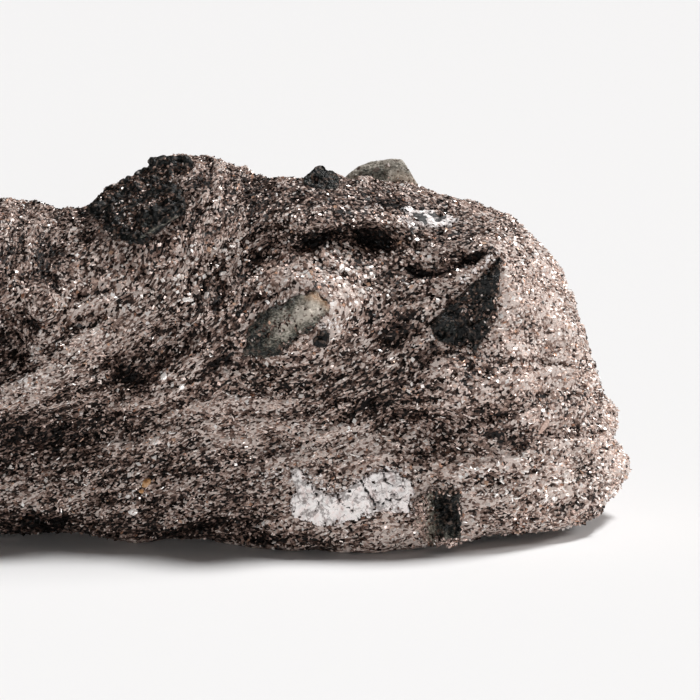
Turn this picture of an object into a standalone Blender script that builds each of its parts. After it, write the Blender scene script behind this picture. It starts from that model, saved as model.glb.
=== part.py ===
"""Alexandrite crystals in a block of mica schist, lying on its small flat spot.

The block is one natural piece. Each crystal and each feldspar patch is a piece of its own that sits
in a socket of the block. X runs along the block, -Y is the side that shows the crystals, +Z is up,
and the origin is the middle of the base.
"""

import math

import bmesh
import bpy
from mathutils import Matrix, Vector, noise

MM = 0.001

# Driving dimensions of the block, in millimetres.
HALF_LENGTH = 87.0
MIDDLE_X = 1.0
BLOCK_FACES = 6400
UPPER_POWER = 2.3
LOWER_POWER = 6.0
END_POWER = 14.0
SKIN_VOXEL = 1.5
REST_CUT = 0.0

# The gap between a grown-in piece and its socket, how far worn pieces stand proud of the skin, and the
# chamfer that takes the knife edge off a crystal.
GAP = 0.32
WORN_PROUD = 0.7
PATCH_PROUD = 0.35
EDGE_WEAR = 0.35
TWIN_EDGE_WEAR = 0.3

# How finely the block is shaped before it is thinned: parts along and round it.
PARTS_ROUND = 176
PARTS_ALONG = 150

# Outlines along the block: (x, value) points that smooth curves pass through.
TOP = [
    (-87, 30), (-84, 42), (-77, 53), (-66, 61), (-55, 65), (-44, 65.8), (-35, 64), (-27, 63.5),
    (-20, 66.5), (-12, 71.5), (-2, 75), (5, 73.3), (11, 69.6), (19, 70), (27, 70.6), (36, 68.5),
    (45, 66.2), (53, 64.3), (62, 62.2), (68, 58.6), (74, 53.5), (77, 47), (79.5, 39.5), (83, 28), (86.4, 20),
    (88, 11),
]
BOTTOM = [
    (-87, 22), (-83, 10), (-75, 3.5), (-64, 0.5), (-52, -1.2), (-40, -0.8), (-28, -0.4), (-15, -1.2),
    (-4, -0.8), (12, -2.2), (28, -2.8), (40, -2.0), (48, -2.0), (56, -1.2), (66, -0.4), (75, 0.4),
    (83, 0.8), (88, 2.6),
]
FRONT = [
    (-87, -6), (-84, -16), (-76, -27), (-64, -33), (-48, -37), (-32, -39), (-14, -40), (4, -42),
    (22, -44), (40, -44), (54, -44), (64, -41), (72, -36), (79, -30), (85, -22), (88, -12),
]
BACK = [
    (-87, 6), (-84, 20), (-74, 32), (-58, 40), (-42, 46), (-22, 48), (-2, 46), (18, 47), (36, 46), (50, 42),
    (62, 38), (74, 32), (83, 20), (88, 5),
]
CREST_Y = [(-87, 0), (-60, 2), (-30, 4), (-8, 1), (15, -4), (35, 1), (55, -1), (72, -2), (88, 0)]
GIRDLE_Z = [(-87, 26), (-70, 25), (-40, 22), (-10, 19), (25, 17), (50, 17), (70, 15), (88, 10)]

# Broken faces of the block: name, a point on the face, the way it looks. Skin outside is pressed back to it.
BREAKS = [
    ("right front", (70.5, -36, 40), (0.70, -0.68, 0.22)),
    ("right back", (62, 31, 40), (0.60, 0.76, 0.24)),
    ("right back, low", (74, 22, 20), (0.84, 0.50, -0.20)),
    ("right top", (70, 4, 57), (0.55, 0.10, 0.83)),
    ("left front", (-66, -29, 34), (-0.66, -0.74, 0.08)),
    ("left end", (-80, 4, 36), (-0.93, 0.14, 0.34)),
    ("left end, low", (-78, -6, 12), (-0.84, -0.12, -0.53)),
    ("left back", (-62, 33, 36), (-0.54, 0.82, 0.18)),
    ("left top", (-62, 14, 59), (-0.38, 0.40, 0.83)),
    ("back, left", (-30, 43, 40), (-0.10, 0.97, 0.20)),
    ("back, middle", (12, 42.5, 32), (0.12, 0.97, -0.20)),
    ("back, upper right", (34, 34, 56), (0.26, 0.72, 0.64)),
    ("back, upper left", (-16, 33, 62), (-0.12, 0.60, 0.79)),
    ("back foot, left", (-44, 38, 8), (-0.10, 0.74, -0.66)),
]
PRESS = 0.85

# Lumps and hollows of the skin, worked like soft pulls in clay:
# name, centre, half sizes, tilt about Y in degrees, pull. A pull towards -Y is a lump on the front.
SHAPES = [
    ("crystal lump", (20, -38, 48), (17, 30, 12), 32, (0, -7.5, 0.5)),
    ("brow", (28, -26, 66), (22, 26, 7), -4, (0, -9.5, -2.2)),
    ("hollow under the brow", (32, -34, 58), (15, 26, 6.5), -6, (0, 11.0, 3.0)),
    ("valley, upper", (7, -36, 56), (17, 30, 6.5), 40, (0, 8.0, 0.8)),
    ("valley, lower", (-11, -36, 39), (15, 30, 7), 38, (0, 8.0, 0.5)),
    ("right lump", (53, -30, 56), (16, 26, 13), 8, (1, -4.5, 0.5)),
    ("rim right of the wedge", (62, -30, 52), (7, 22, 13), -6, (0, -3.5, 0)),
    ("right shoulder", (60, -31, 59), (13, 18, 8), 0, (0.5, -4.5, 1.2)),
    ("oval bump", (49, -34, 60.5), (11, 24, 4.0), 10, (0, -4.0, -0.4)),
    ("groove under the oval bump", (48, -36, 55.8), (11, 24, 2.4), 14, (0, 4.2, 0)),
    ("crease", (45, -38, 25), (19, 30, 5.0), -10, (0, 6.6, 0.6)),
    ("middle swell", (48, -38, 34), (24, 28, 7), -8, (0, -3.6, 0)),
    ("foot bulge", (30, -38, 12), (52, 26, 11), 0, (0, -4.2, 0)),
    ("foot lip", (30, -38, 2), (44, 20, 8), 0, (0, -4.0, 0)),
    ("left pocket", (-42, -34, 40), (15, 28, 9), 20, (0, 10.0, 0.8)),
    ("left rib", (-26, -36, 36), (21, 26, 4.2), 32, (0, -6.0, 0)),
    ("left rib, upright", (-31, -34, 47), (4.5, 26, 12), -14, (0, -5.0, 0)),
    ("lower left hollow", (-30, -38, 21), (25, 28, 9), 14, (0, 8.4, 0.6)),
    ("groove below the left rib", (-8, -40, 27), (18, 26, 3.0), 26, (0, 3.2, 0)),
    ("upper left face", (-22, -30, 55), (24, 24, 11), 10, (0, -2.8, 0)),
    ("toe scoop", (4, -38, 3), (16, 24, 5), 6, (0, 3.4, 1.6)),
    ("right ledge", (82, -8, 22), (10, 26, 3.2), 0, (1.0, -1.2, 0)),
    ("right notch", (84, -8, 16.8), (8, 26, 2.4), 0, (-3.2, 1.2, 0)),
    ("right toe", (87, -6, 9.5), (9, 22, 6), 0, (2.2, -0.8, 0)),
    ("left shoulder", (-58, -22, 46), (16, 20, 12), 0, (-1.0, -4.0, 1.5)),
    ("left end scoop", (-84, -6, 30), (14, 16, 12), 0, (5.5, 0, 0)),
    ("back lump", (20, 42, 46), (18, 24, 13), -20, (0, 5.5, 1.0)),
    ("back hollow", (-14, 42, 34), (18, 24, 10), 25, (0, -7.5, 0)),
    ("back rib", (-46, 40, 44), (26, 24, 6), 18, (0, 5.0, 1.0)),
    ("back notch", (58, 34, 28), (12, 22, 8), -30, (0, -6.0, 0)),
    ("top back dip", (8, 26, 66), (20, 12, 14), 0, (0, 0, -4.5)),
    ("top left dip", (-56, 6, 64), (12, 16, 12), 0, (0, 0, -3.0)),
    ("underside, left", (-62, 4, -2), (46, 50, 14), 0, (0, 0, 5.0)),
    ("underside, back", (4, 36, -2), (90, 34, 14), 0, (0, 0, 6.5)),
    ("underside, right", (76, 12, 0), (24, 40, 12), 0, (0, 0, 3.0)),
    ("rear crystal seat", (38, 22, 60), (17, 15, 14), 0, (0, 1.5, 5.0)),
]

# Roughness of the skin: (wavelength, depth) of each layer of noise.
LUMPS = [(36.0, 2.2), (16.0, 1.5), (7.5, 0.8)]

# The layers of the schist: thickness, how far one stands out past the next, the slope that they climb
# to the right, where they flatten out, and the lump that they wrap round.
LAYER_STEP = 5.2
LAYER_DEPTH = 0.7
LAYER_CLIMB = 0.46
LAYER_FLATTENS = 60.0
WRAPPED_LUMP = (20, -38, 48)
WRAP_REACH = 30.0
WRAP_LIFT = 2.5

# Crystals known by their outline: outline is (x, z) corners seen from the front, front is a point on the
# front face and the way it looks, depth is how far the crystal reaches back from there, into is the way
# that the sides run into the block, cuts are further flat faces: a point on each and the way it looks.
WEDGE = dict(
    outline=[
        (60.2, 58.8), (46.7, 46.2), (49.9, 41.1), (52.3, 40.9), (57.5, 43.5), (59.3, 47.4), (59.8, 53.4),
    ],
    front=((45.5, -41.3, 44.9), (0.05, -0.97, 0.24)), depth=18,
)
WEDGE_STEP = dict(
    outline=[(47.9, 47.3), (45.5, 45.3), (47.3, 42.4), (50.9, 41.4), (51.0, 46.7)],
    front=((48.0, -42.4, 44.5), (-0.12, -0.97, 0.20)), depth=14,
)
WEDGE_TOOTH = dict(
    outline=[(52.6, 45.5), (54.7, 39.3), (57.9, 45.0)],
    front=((55.0, -41.8, 42.0), (0.25, -0.90, 0.30)), depth=12,
)
RIDGE_MAIN = dict(
    outline=[
        (-24.5, 66.4), (-20.6, 70.9), (-12.6, 75.0), (-7.0, 75.0), (-6.2, 73.0), (-17.2, 65.6), (-21.9, 64.4),
    ],
    front=((-16.9, -22.8, 64.8), (-0.30, -0.50, 0.81)), depth=18, into=(0, 1, -0.10),
    cuts=[((-16.0, -6.5, 70.0), (-0.45, 0.62, 0.64)), ((-8.0, -6.0, 74.0), (0.5, 0.6, 0.62))],
)
RIDGE_LOWER = dict(
    outline=[
        (-20.7, 63.5), (-19.0, 66.0), (-10.5, 71.3), (-5.4, 72.3), (-3.2, 67.8), (-15.0, 60.5), (-18.3, 60.5),
    ],
    front=((-12.0, -25.8, 63.5), (-0.20, -0.58, 0.79)), depth=14, into=(0, 1, -0.10),
)
RIDGE_BLOCK = dict(
    outline=[(-14.9, 60.0), (-14.7, 62.0), (-10.2, 66.9), (-3.4, 68.3), (-3.2, 66.3), (-11.9, 60.4)],
    front=((-10.0, -30.2, 62.5), (-0.05, -0.85, 0.52)), depth=12,
)
RIDGE_STEP = dict(
    outline=[(-13.7, 64.5), (-12.8, 67.2), (-10.4, 67.8), (-9.0, 67.0), (-9.8, 64.3)],
    front=((-11.0, -27.4, 66.0), (-0.40, -0.85, 0.30)), depth=10,
)
RIDGE_SLAB = dict(
    outline=[
        (-11.9, 75.4), (-11.3, 76.3), (-6.7, 76.7), (-3.4, 76.1), (-2.2, 74.0), (-4.7, 72.3), (-11.5, 73.6),
    ],
    front=((-8.0, -12.5, 75.0), (0.0, -0.98, 0.20)), depth=10, into=(0, 1, -0.10),
)
KNOB = dict(
    outline=[
        (20.2, 71.5), (22.1, 73.2), (23.8, 74.4), (25.4, 74.1), (27.7, 71.5), (27.5, 66.9), (20.8, 66.9),
    ],
    front=((24.0, -8.5, 72.0), (0.1, -0.8, 0.6)), depth=9, into=(0, 1, -0.10),
    cuts=[((24.5, -6.0, 73.6), (0.15, 0.55, 0.82)), ((21.4, -5.0, 71.8), (-0.7, 0.5, 0.5))],
)
REAR = dict(
    outline=[
        (28.1, 68.8), (31.9, 71.6), (34.7, 72.7), (38.6, 73.2), (41.4, 73.2), (43.1, 70.4), (45.1, 67.4),
        (45.6, 57.8), (28.1, 57.8),
    ],
    front=((37.0, 15.0, 66.0), (0.05, -0.93, 0.36)), depth=12.5, into=(0, 1, -0.10),
    cuts=[
        ((38.0, 20.5, 72.6), (-0.05, 0.62, 0.78)), ((43.2, 21.0, 67.0), (0.78, 0.55, 0.30)),
        ((30.0, 22.0, 68.5), (-0.68, 0.55, 0.48)),
    ],
)
WORN = dict(
    outline=[
        (8.8, 39.6), (11.7, 38.6), (15.3, 39.4), (25.8, 48.6), (25.6, 50.8), (23.1, 52.0), (20.1, 51.6),
        (11.8, 47.4), (10.0, 45.2),
    ],
    front=((17.0, -54.0, 45.0), (0, -1, 0)), depth=18,
)
CHIP = dict(
    outline=[(22.9, 41.7), (25.3, 41.3), (26.0, 43.5), (25.3, 45.1), (23.9, 44.5), (22.5, 42.9)],
    front=((24.3, -45.6, 43.0), (0.30, -0.95, -0.10)), depth=7,
)
FOOT = dict(
    outline=[
        (43.3, 11.7), (45.5, 13.1), (49.5, 13.5), (51.7, 11.9), (52.1, 5.0), (50.9, 1.5), (45.6, 1.5),
        (43.6, 3.9), (42.9, 8.0),
    ],
    front=((47.5, -47.6, 8.0), (0.12, -0.985, -0.12)), depth=12,
)

# Crystals on the hidden sides: size is width, thickness and length, axis is the long direction, face is
# the way that the broad face looks, cuts are further flat faces (direction, distance) in its own axes.
BACK_TABLET = dict(
    size=(15, 9, 19), centre=(22, 44.6, 45), axis=(-0.45, 0.1, 0.88), face=(0.1, 1, 0.15),
    cuts=[((0.8, 0, 1), 9.3), ((-1, 0, 0.7), 8.6), ((0.9, 0.6, -0.5), 8.0)],
)
BACK_PRISM = dict(
    size=(8, 8, 15), centre=(-42, 42.5, 42), axis=(0.85, 0.1, 0.45), face=(0, 1, 0.1),
    cuts=[((0.7, 0, 1), 7.2), ((-0.8, 0, -1), 7.4)],
)
END_PRISM = dict(
    size=(9, 8, 16), centre=(-68, -27.0, 43), axis=(0.40, -0.25, 0.85), face=(-0.60, -0.80, 0.1),
    cuts=[((0.9, 0, 1), 7.8), ((-0.8, 0, 1), 8.4), ((0.7, -0.6, -0.3), 5.2)],
)

# Standing crystals keep all their flat faces. Worn ones are ground down to the block's skin.
STANDING = [
    ("alexandrite_wedge", [WEDGE, WEDGE_STEP, WEDGE_TOOTH]),
    ("alexandrite_ridge", [RIDGE_MAIN, RIDGE_LOWER, RIDGE_BLOCK, RIDGE_STEP, RIDGE_SLAB]),
    ("alexandrite_knob", [KNOB]),
    ("alexandrite_rear", [REAR]),
    ("alexandrite_chip", [CHIP]),
    ("alexandrite_foot", [FOOT]),
    ("alexandrite_back_tablet", [BACK_TABLET]),
    ("alexandrite_back_prism", [BACK_PRISM]),
    ("alexandrite_end_prism", [END_PRISM]),
]
WORN_DOWN = [("alexandrite_worn", WORN)]

# Feldspar patches: outline across the skin, the two axes of the outline and the axis that it is pushed
# along, from and to where.
PATCH = dict(
    outline=[
        (17.9, 17.0), (19.7, 17.4), (21.5, 16.0), (23.2, 13.8), (25.2, 12.6), (27.0, 12.6), (29.4, 13.4),
        (32.2, 15.4), (34.4, 16.4), (36.6, 16.9), (40.3, 16.2), (42.3, 14.6), (42.9, 12.4), (41.3, 10.3),
        (41.8, 8.6), (39.2, 8.6), (37.0, 9.2), (34.4, 8.8), (32.8, 8.0), (29.8, 7.2), (26.8, 6.2),
        (24.2, 6.0), (21.2, 7.2), (18.7, 7.8), (18.0, 10.4), (19.2, 13.6),
    ],
    axes="XZ", reach=(-58.0, -41.0),
)
FLECK = dict(
    outline=[
        (40.6, -17.6), (42.2, -15.4), (44.6, -15.6), (46.6, -14.0), (48.4, -15.0), (50.8, -14.8),
        (52.4, -17.2), (50.4, -18.6), (50.8, -20.6), (48.2, -20.8), (46.6, -22.0), (44.0, -20.6),
        (41.6, -20.6), (42.2, -18.8),
    ],
    axes="XY", reach=(75.0, 59.5),
)
PATCHES = [("feldspar_patch", PATCH), ("feldspar_fleck", FLECK)]

# Colour and roughness of each kind of piece.
SCHIST = ((0.24, 0.19, 0.175, 1.0), 0.55)
ALEXANDRITE = ((0.022, 0.026, 0.024, 1.0), 0.3)
FELDSPAR = ((0.62, 0.57, 0.54, 1.0), 0.5)


def clear_scene():
    for obj in list(bpy.data.objects):
        bpy.data.objects.remove(obj)


def new_collection(name):
    collection = bpy.data.collections.new(name)
    bpy.context.scene.collection.children.link(collection)
    return collection


def new_material(name, finish):
    colour, roughness = finish
    material = bpy.data.materials.new(name)
    material.use_nodes = True
    shader = material.node_tree.nodes["Principled BSDF"]
    shader.inputs["Base Color"].default_value = colour
    shader.inputs["Roughness"].default_value = roughness
    shader.inputs["Metallic"].default_value = 0.0
    material.diffuse_color = colour
    return material


def new_object(name, bm, collection, material=None):
    bmesh.ops.recalc_face_normals(bm, faces=bm.faces)
    mesh = bpy.data.meshes.new(name)
    bm.to_mesh(mesh)
    bm.free()
    obj = bpy.data.objects.new(name, mesh)
    collection.objects.link(obj)
    if material:
        mesh.materials.append(material)
    return obj


def as_helper(obj):
    obj.hide_render = True
    obj.display_type = "WIRE"
    return obj


def curve_through(points):
    """A smooth function of x through the points, level past the ends."""
    xs = [p[0] for p in points]
    ys = [p[1] for p in points]
    slopes = []
    for i in range(len(points)):
        a, b = max(0, i - 1), min(len(points) - 1, i + 1)
        slopes.append((ys[b] - ys[a]) / (xs[b] - xs[a]))

    def value(x):
        if x <= xs[0]:
            return ys[0]
        if x >= xs[-1]:
            return ys[-1]
        i = max(k for k in range(len(xs) - 1) if xs[k] <= x)
        step = xs[i + 1] - xs[i]
        t = (x - xs[i]) / step
        start = (1 + 2 * t) * (1 - t) ** 2 * ys[i] + t * (1 - t) ** 2 * step * slopes[i]
        end = t * t * (3 - 2 * t) * ys[i + 1] + t * t * (t - 1) * step * slopes[i + 1]
        return start + end

    return value


def rounded_power(value, power):
    return math.copysign(abs(value) ** (2 / power), value)


def block_point(along, around, outlines):
    """A point of the block before it is lumped. along runs from -1 to 1, around is an angle."""
    x = MIDDLE_X + HALF_LENGTH * along
    top, bottom, front, back, crest, girdle = (curve(x) for curve in outlines)
    end = max(0.0, 1 - abs(along) ** END_POWER) ** (1 / END_POWER)
    power = UPPER_POWER if math.sin(around) > 0 else LOWER_POWER
    c = rounded_power(math.cos(around), power)
    s = rounded_power(math.sin(around), power)
    deep = back - crest if c > 0 else crest - front
    tall = top - girdle if s > 0 else girdle - bottom
    return Vector((x, crest + end * deep * c, girdle + end * tall * s))


def bell(distance):
    return (1 - distance * distance) ** 2 if distance < 1 else 0.0


def pull_of(point, shape):
    _, centre, half, tilt, pull = shape
    offset = Matrix.Rotation(math.radians(tilt), 3, "Y") @ (point - Vector(centre))
    distance = Vector((offset.x / half[0], offset.y / half[1], offset.z / half[2])).length
    return Vector(pull) * bell(distance)


def layer_height(point):
    """Height in the schist's layers, which climb to the right, flatten past the middle and wrap the lump."""
    along = point.x if point.x < 0 else LAYER_FLATTENS * math.tanh(point.x / LAYER_FLATTENS)
    from_lump = point - Vector(WRAPPED_LUMP)
    wrap = math.copysign(WRAP_LIFT * bell(from_lump.length / WRAP_REACH), from_lump.z)
    return point.z - LAYER_CLIMB * along + 0.12 * point.y + wrap


def lumped(point, outward):
    """The point moved by the shapes, then by noise and by the small steps of the layers."""
    moved = point.copy()
    for _, on_face, looks in BREAKS:
        looks = Vector(looks).normalized()
        beyond = (moved - Vector(on_face)).dot(looks)
        moved -= looks * PRESS * max(0.0, beyond)
    for shape in SHAPES:
        moved += pull_of(moved, shape)
    for number, (wave, depth) in enumerate(LUMPS):
        at = point / wave + Vector((13.7 * number, 5.1, 2.3 * number))
        moved += outward * depth * noise.noise(at)
    step = layer_height(point) / LAYER_STEP + 0.5 * noise.noise(point / 20)
    moved += outward * LAYER_DEPTH * (step - math.floor(step) - 0.5)
    return moved


def make_block(collection, helpers):
    """The block: a fine sphere shaped by the outlines, lumped, then thinned to its stated faces."""
    outlines = [curve_through(p) for p in (TOP, BOTTOM, FRONT, BACK, CREST_Y, GIRDLE_Z)]
    bm = bmesh.new()
    bmesh.ops.create_uvsphere(bm, u_segments=PARTS_ROUND, v_segments=PARTS_ALONG, radius=1.0)
    bmesh.ops.rotate(bm, verts=bm.verts, matrix=Matrix.Rotation(math.radians(90), 3, "Y"))
    for vertex in bm.verts:
        along = max(-1.0, min(1.0, vertex.co.x))
        vertex.co = block_point(along, math.atan2(vertex.co.z, vertex.co.y), outlines)
    bm.normal_update()
    moved = [lumped(v.co, v.normal) for v in bm.verts]
    for vertex, place in zip(bm.verts, moved):
        vertex.co = place * MM
    block = new_object("mica_schist", bm, collection, new_material("mica_schist", SCHIST))
    remesh = block.modifiers.new("even skin", "REMESH")
    remesh.mode = "VOXEL"
    remesh.voxel_size = SKIN_VOXEL * MM
    thin = block.modifiers.new("facets", "DECIMATE")
    thin.ratio = 1.0
    bpy.context.view_layer.update()
    graph = bpy.context.evaluated_depsgraph_get()
    skin = block.evaluated_get(graph).to_mesh()
    triangles = sum(len(face.vertices) - 2 for face in skin.polygons)
    block.evaluated_get(graph).to_mesh_clear()
    thin.ratio = BLOCK_FACES / triangles
    freeze(block)
    lay_flat(block, helpers)
    return block


def freeze(obj):
    """Replaces the object's mesh with what its modifiers make."""
    bpy.context.view_layer.update()
    graph = bpy.context.evaluated_depsgraph_get()
    mesh = bpy.data.meshes.new_from_object(obj.evaluated_get(graph))
    obj.modifiers.clear()
    obj.data = mesh


def lay_flat(block, helpers):
    """Cuts the lowest skin off level, which leaves the small flat spot that the block lies on."""
    bm = bmesh.new()
    below = Matrix.Translation((0, 0, (REST_CUT - 50) * MM)) @ Matrix.Scale(0.5, 4, (0, 0, 1))
    bmesh.ops.create_cube(bm, size=200 * MM, matrix=below)
    cutter = as_helper(new_object("floor level", bm, helpers))
    boolean(block, cutter, "DIFFERENCE")
    freeze(block)


def turned(long_axis, face):
    """A rotation that takes Z to the long axis and -Y as near as possible to the face's direction."""
    z = Vector(long_axis).normalized()
    y = -(Vector(face) - Vector(face).dot(z) * z).normalized()
    x = y.cross(z)
    return Matrix((x, y, z)).transposed()


def outline_faces(crystal):
    """Flat faces of a crystal that is known by its outline seen from the front: (point, way it looks)."""
    front, looks = (Vector(v) for v in crystal["front"])
    into = Vector(crystal.get("into", (0, 1, 0)))
    corners = [Vector((x, front.y, z)) for x, z in crystal["outline"]]
    middle = sum(corners, Vector()) / len(corners)
    faces = [(front, looks), (front + Vector((0, crystal["depth"], 0)), Vector((0, 1, 0)))]
    for here, after in zip(corners, corners[1:] + corners[:1]):
        side = (after - here).cross(into)
        if side.dot(here - middle) < 0:
            side.negate()
        faces.append((here, side))
    faces += [(Vector(point), Vector(way)) for point, way in crystal.get("cuts", [])]
    return faces


def prism_faces(crystal):
    """Flat faces of a six-sided crystal of a given width, thickness and length, with cut corners."""
    width, thick, length = (0.5 * side for side in crystal["size"])
    turn = turned(crystal["axis"], crystal["face"])
    centre = Vector(crystal["centre"])
    faces = [((0, 0, 1), length), ((0, 0, -1), length), ((0, 1, 0), thick), ((0, -1, 0), thick)]
    faces += [((1, 0, 0), width), ((-1, 0, 0), width)]
    slope = Vector((0.45, 0.55 * width / thick, 0)).normalized()
    corner = slope.x * width + slope.y * thick * 0.45
    faces += [((sx * slope.x, sy * slope.y, 0), corner) for sx in (1, -1) for sy in (1, -1)]
    faces += crystal["cuts"]
    turned_faces = []
    for looks, distance in faces:
        looks = Vector(looks).normalized()
        turned_faces.append((centre + turn @ (looks * distance), turn @ looks))
    return turned_faces


def crystal_bmesh(crystal, grow=0.0):
    """The crystal inside its flat faces, with every face moved out by grow."""
    faces = outline_faces(crystal) if "outline" in crystal else prism_faces(crystal)
    bm = bmesh.new()
    start = Matrix.Translation(faces[0][0])
    bmesh.ops.create_cube(bm, size=120.0, matrix=start)
    for point, looks in faces:
        looks = looks.normalized()
        geometry = bm.verts[:] + bm.edges[:] + bm.faces[:]
        cut = bmesh.ops.bisect_plane(
            bm, geom=geometry, plane_co=point + looks * grow, plane_no=looks, clear_outer=True
        )
        edges = [e for e in cut["geom_cut"] if isinstance(e, bmesh.types.BMEdge)]
        bmesh.ops.holes_fill(bm, edges=edges)
    bmesh.ops.scale(bm, vec=(MM, MM, MM), verts=bm.verts)
    bmesh.ops.dissolve_degenerate(bm, dist=1e-6, edges=bm.edges)
    return bm


def chamfer(obj, width):
    """Takes the knife edge off the crystal's corners."""
    bevel = obj.modifiers.new("worn edges", "BEVEL")
    bevel.width = width * MM
    bevel.segments = 1
    bevel.limit_method = "ANGLE"
    bevel.angle_limit = math.radians(25)


def grown_outline(points, grow):
    """The closed outline with each side moved out by grow."""
    corners = [Vector(p) for p in points]
    pairs = list(zip(corners, corners[1:] + corners[:1]))
    turn = 1 if sum(a.cross(b) for a, b in pairs) > 0 else -1
    moved = []
    for i, here in enumerate(corners):
        before, after = corners[i - 1], corners[(i + 1) % len(corners)]
        out_a = -turn * (here - before).orthogonal().normalized()
        out_b = -turn * (after - here).orthogonal().normalized()
        middle = (out_a + out_b).normalized()
        moved.append(here + middle * grow / max(0.5, middle.dot(out_a)))
    return moved


def patch_bmesh(patch, grow=0.0):
    """The patch's outline pushed through the skin and into the block."""
    near, far = patch["reach"]
    deeper = grow if far > near else -grow
    bm = bmesh.new()
    rings = []
    for level in (near, far + deeper):
        ring = []
        for p in grown_outline(patch["outline"], grow):
            place = (p.x, level, p.y) if patch["axes"] == "XZ" else (p.x, p.y, level)
            ring.append(bm.verts.new(Vector(place) * MM))
        rings.append(ring)
        bm.faces.new(ring)
    count = len(rings[0])
    for i in range(count):
        k = (i + 1) % count
        bm.faces.new((rings[0][i], rings[0][k], rings[1][k], rings[1][i]))
    return bm


def boolean(obj, other, operation):
    modifier = obj.modifiers.new(operation.lower(), "BOOLEAN")
    modifier.operation = operation
    modifier.object = other
    modifier.solver = "EXACT"
    return modifier


def swollen_copy(block, amount, helpers):
    """The whole block's skin moved out a little, for pieces that end at the skin."""
    copy = as_helper(bpy.data.objects.new(f"skin_plus_{amount}", block.data.copy()))
    helpers.objects.link(copy)
    swell = copy.modifiers.new("swell", "DISPLACE")
    swell.strength = amount * MM
    swell.mid_level = 0.0
    return copy


def make_standing(name, crystals, block, parts, helpers):
    """A crystal, or several grown together, and its socket in the block."""
    first = new_object(name, crystal_bmesh(crystals[0]), parts, new_material(name, ALEXANDRITE))
    chamfer(first, EDGE_WEAR)
    for number, crystal in enumerate(crystals[1:]):
        other = as_helper(new_object(f"{name}_twin_{number}", crystal_bmesh(crystal), helpers))
        chamfer(other, TWIN_EDGE_WEAR)
        boolean(first, other, "UNION")
    for number, crystal in enumerate(crystals):
        socket = as_helper(new_object(f"{name}_socket_{number}", crystal_bmesh(crystal, GAP), helpers))
        boolean(block, socket, "DIFFERENCE")


def make_worn(name, crystal, block, skin, parts, helpers):
    """A crystal ground down to the skin of the block, and its socket."""
    piece = new_object(name, crystal_bmesh(crystal), parts, new_material(name, ALEXANDRITE))
    boolean(piece, skin, "INTERSECT")
    socket = as_helper(new_object(f"{name}_socket", crystal_bmesh(crystal, GAP), helpers))
    boolean(block, socket, "DIFFERENCE")


def make_patch(name, patch, block, skin, parts, helpers):
    """A feldspar patch inlaid in the block, and its socket."""
    piece = new_object(name, patch_bmesh(patch), parts, new_material(name, FELDSPAR))
    boolean(piece, skin, "INTERSECT")
    socket = as_helper(new_object(f"{name}_socket", patch_bmesh(patch, GAP), helpers))
    boolean(block, socket, "DIFFERENCE")


def stand_on_origin(collection):
    """Moves every piece so that the middle of the whole specimen's base is the origin."""
    bpy.context.view_layer.update()
    graph = bpy.context.evaluated_depsgraph_get()
    corners = [
        obj.matrix_world @ Vector(corner)
        for obj in collection.objects
        for corner in obj.evaluated_get(graph).bound_box
    ]
    low = Vector(min(c[i] for c in corners) for i in range(3))
    high = Vector(max(c[i] for c in corners) for i in range(3))
    shift = Vector((-(low.x + high.x) / 2, -(low.y + high.y) / 2, -low.z))
    for obj in bpy.data.objects:
        obj.location += shift


def main():
    clear_scene()
    parts = new_collection("alexandrite_in_mica_schist")
    helpers = new_collection("sockets and skins")
    block = make_block(parts, helpers)
    worn_skin = swollen_copy(block, WORN_PROUD, helpers)
    patch_skin = swollen_copy(block, PATCH_PROUD, helpers)
    for name, crystals in STANDING:
        make_standing(name, crystals, block, parts, helpers)
    for name, crystal in WORN_DOWN:
        make_worn(name, crystal, block, worn_skin, parts, helpers)
    for name, patch in PATCHES:
        make_patch(name, patch, block, patch_skin, parts, helpers)
    stand_on_origin(parts)


main()
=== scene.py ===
# %% [markdown]
# Alexandrite in mica schist. The specimen is one rough block: a schist made of thousands of mica flakes that
# lie in wavy layers, with near black crystals and two white feldspar patches grown into it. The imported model
# gives every piece its place and size. This script gives the pieces their skin, flakes and colours.

# %% Open the frame
import math
import time

import bmesh
import bpy
import numpy as np
from mathutils import Matrix, Vector, noise
from mathutils.bvhtree import BVHTree


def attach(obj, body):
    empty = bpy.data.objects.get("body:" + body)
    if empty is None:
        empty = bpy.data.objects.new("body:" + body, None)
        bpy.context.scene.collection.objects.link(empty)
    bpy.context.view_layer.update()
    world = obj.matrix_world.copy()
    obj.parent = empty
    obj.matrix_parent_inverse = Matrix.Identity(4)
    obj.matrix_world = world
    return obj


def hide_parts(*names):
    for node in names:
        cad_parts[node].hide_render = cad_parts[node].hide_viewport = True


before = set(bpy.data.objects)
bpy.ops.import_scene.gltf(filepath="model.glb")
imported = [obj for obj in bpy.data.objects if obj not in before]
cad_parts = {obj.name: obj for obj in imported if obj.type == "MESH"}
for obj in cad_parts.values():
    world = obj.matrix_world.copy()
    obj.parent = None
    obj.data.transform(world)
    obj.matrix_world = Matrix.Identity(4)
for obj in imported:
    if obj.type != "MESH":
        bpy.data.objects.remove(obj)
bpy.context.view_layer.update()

MM = 0.001
BODY = "root"
started = time.time()

# %% [markdown]
# The camera comes first, because some details are found by looking through it. A long lens from a little
# above the table keeps the block's outline close to how a product photograph shows it. The aim point and the
# distance are real lengths, so the view can be checked with a ruler.

# %% Set up the camera
AIM = Vector((28.1, -38.9, 40.0)) * MM
DISTANCE = 620 * MM
ELEVATION = math.radians(9.0)
SENSOR = 36.0
PHOTO_SIZE = 700
PIXELS_FOCAL = 3100.0


def in_scene(name, data):
    """A new object with this data, put in the scene."""
    made = bpy.data.objects.new(name, data)
    bpy.context.scene.collection.objects.link(made)
    return made


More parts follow.
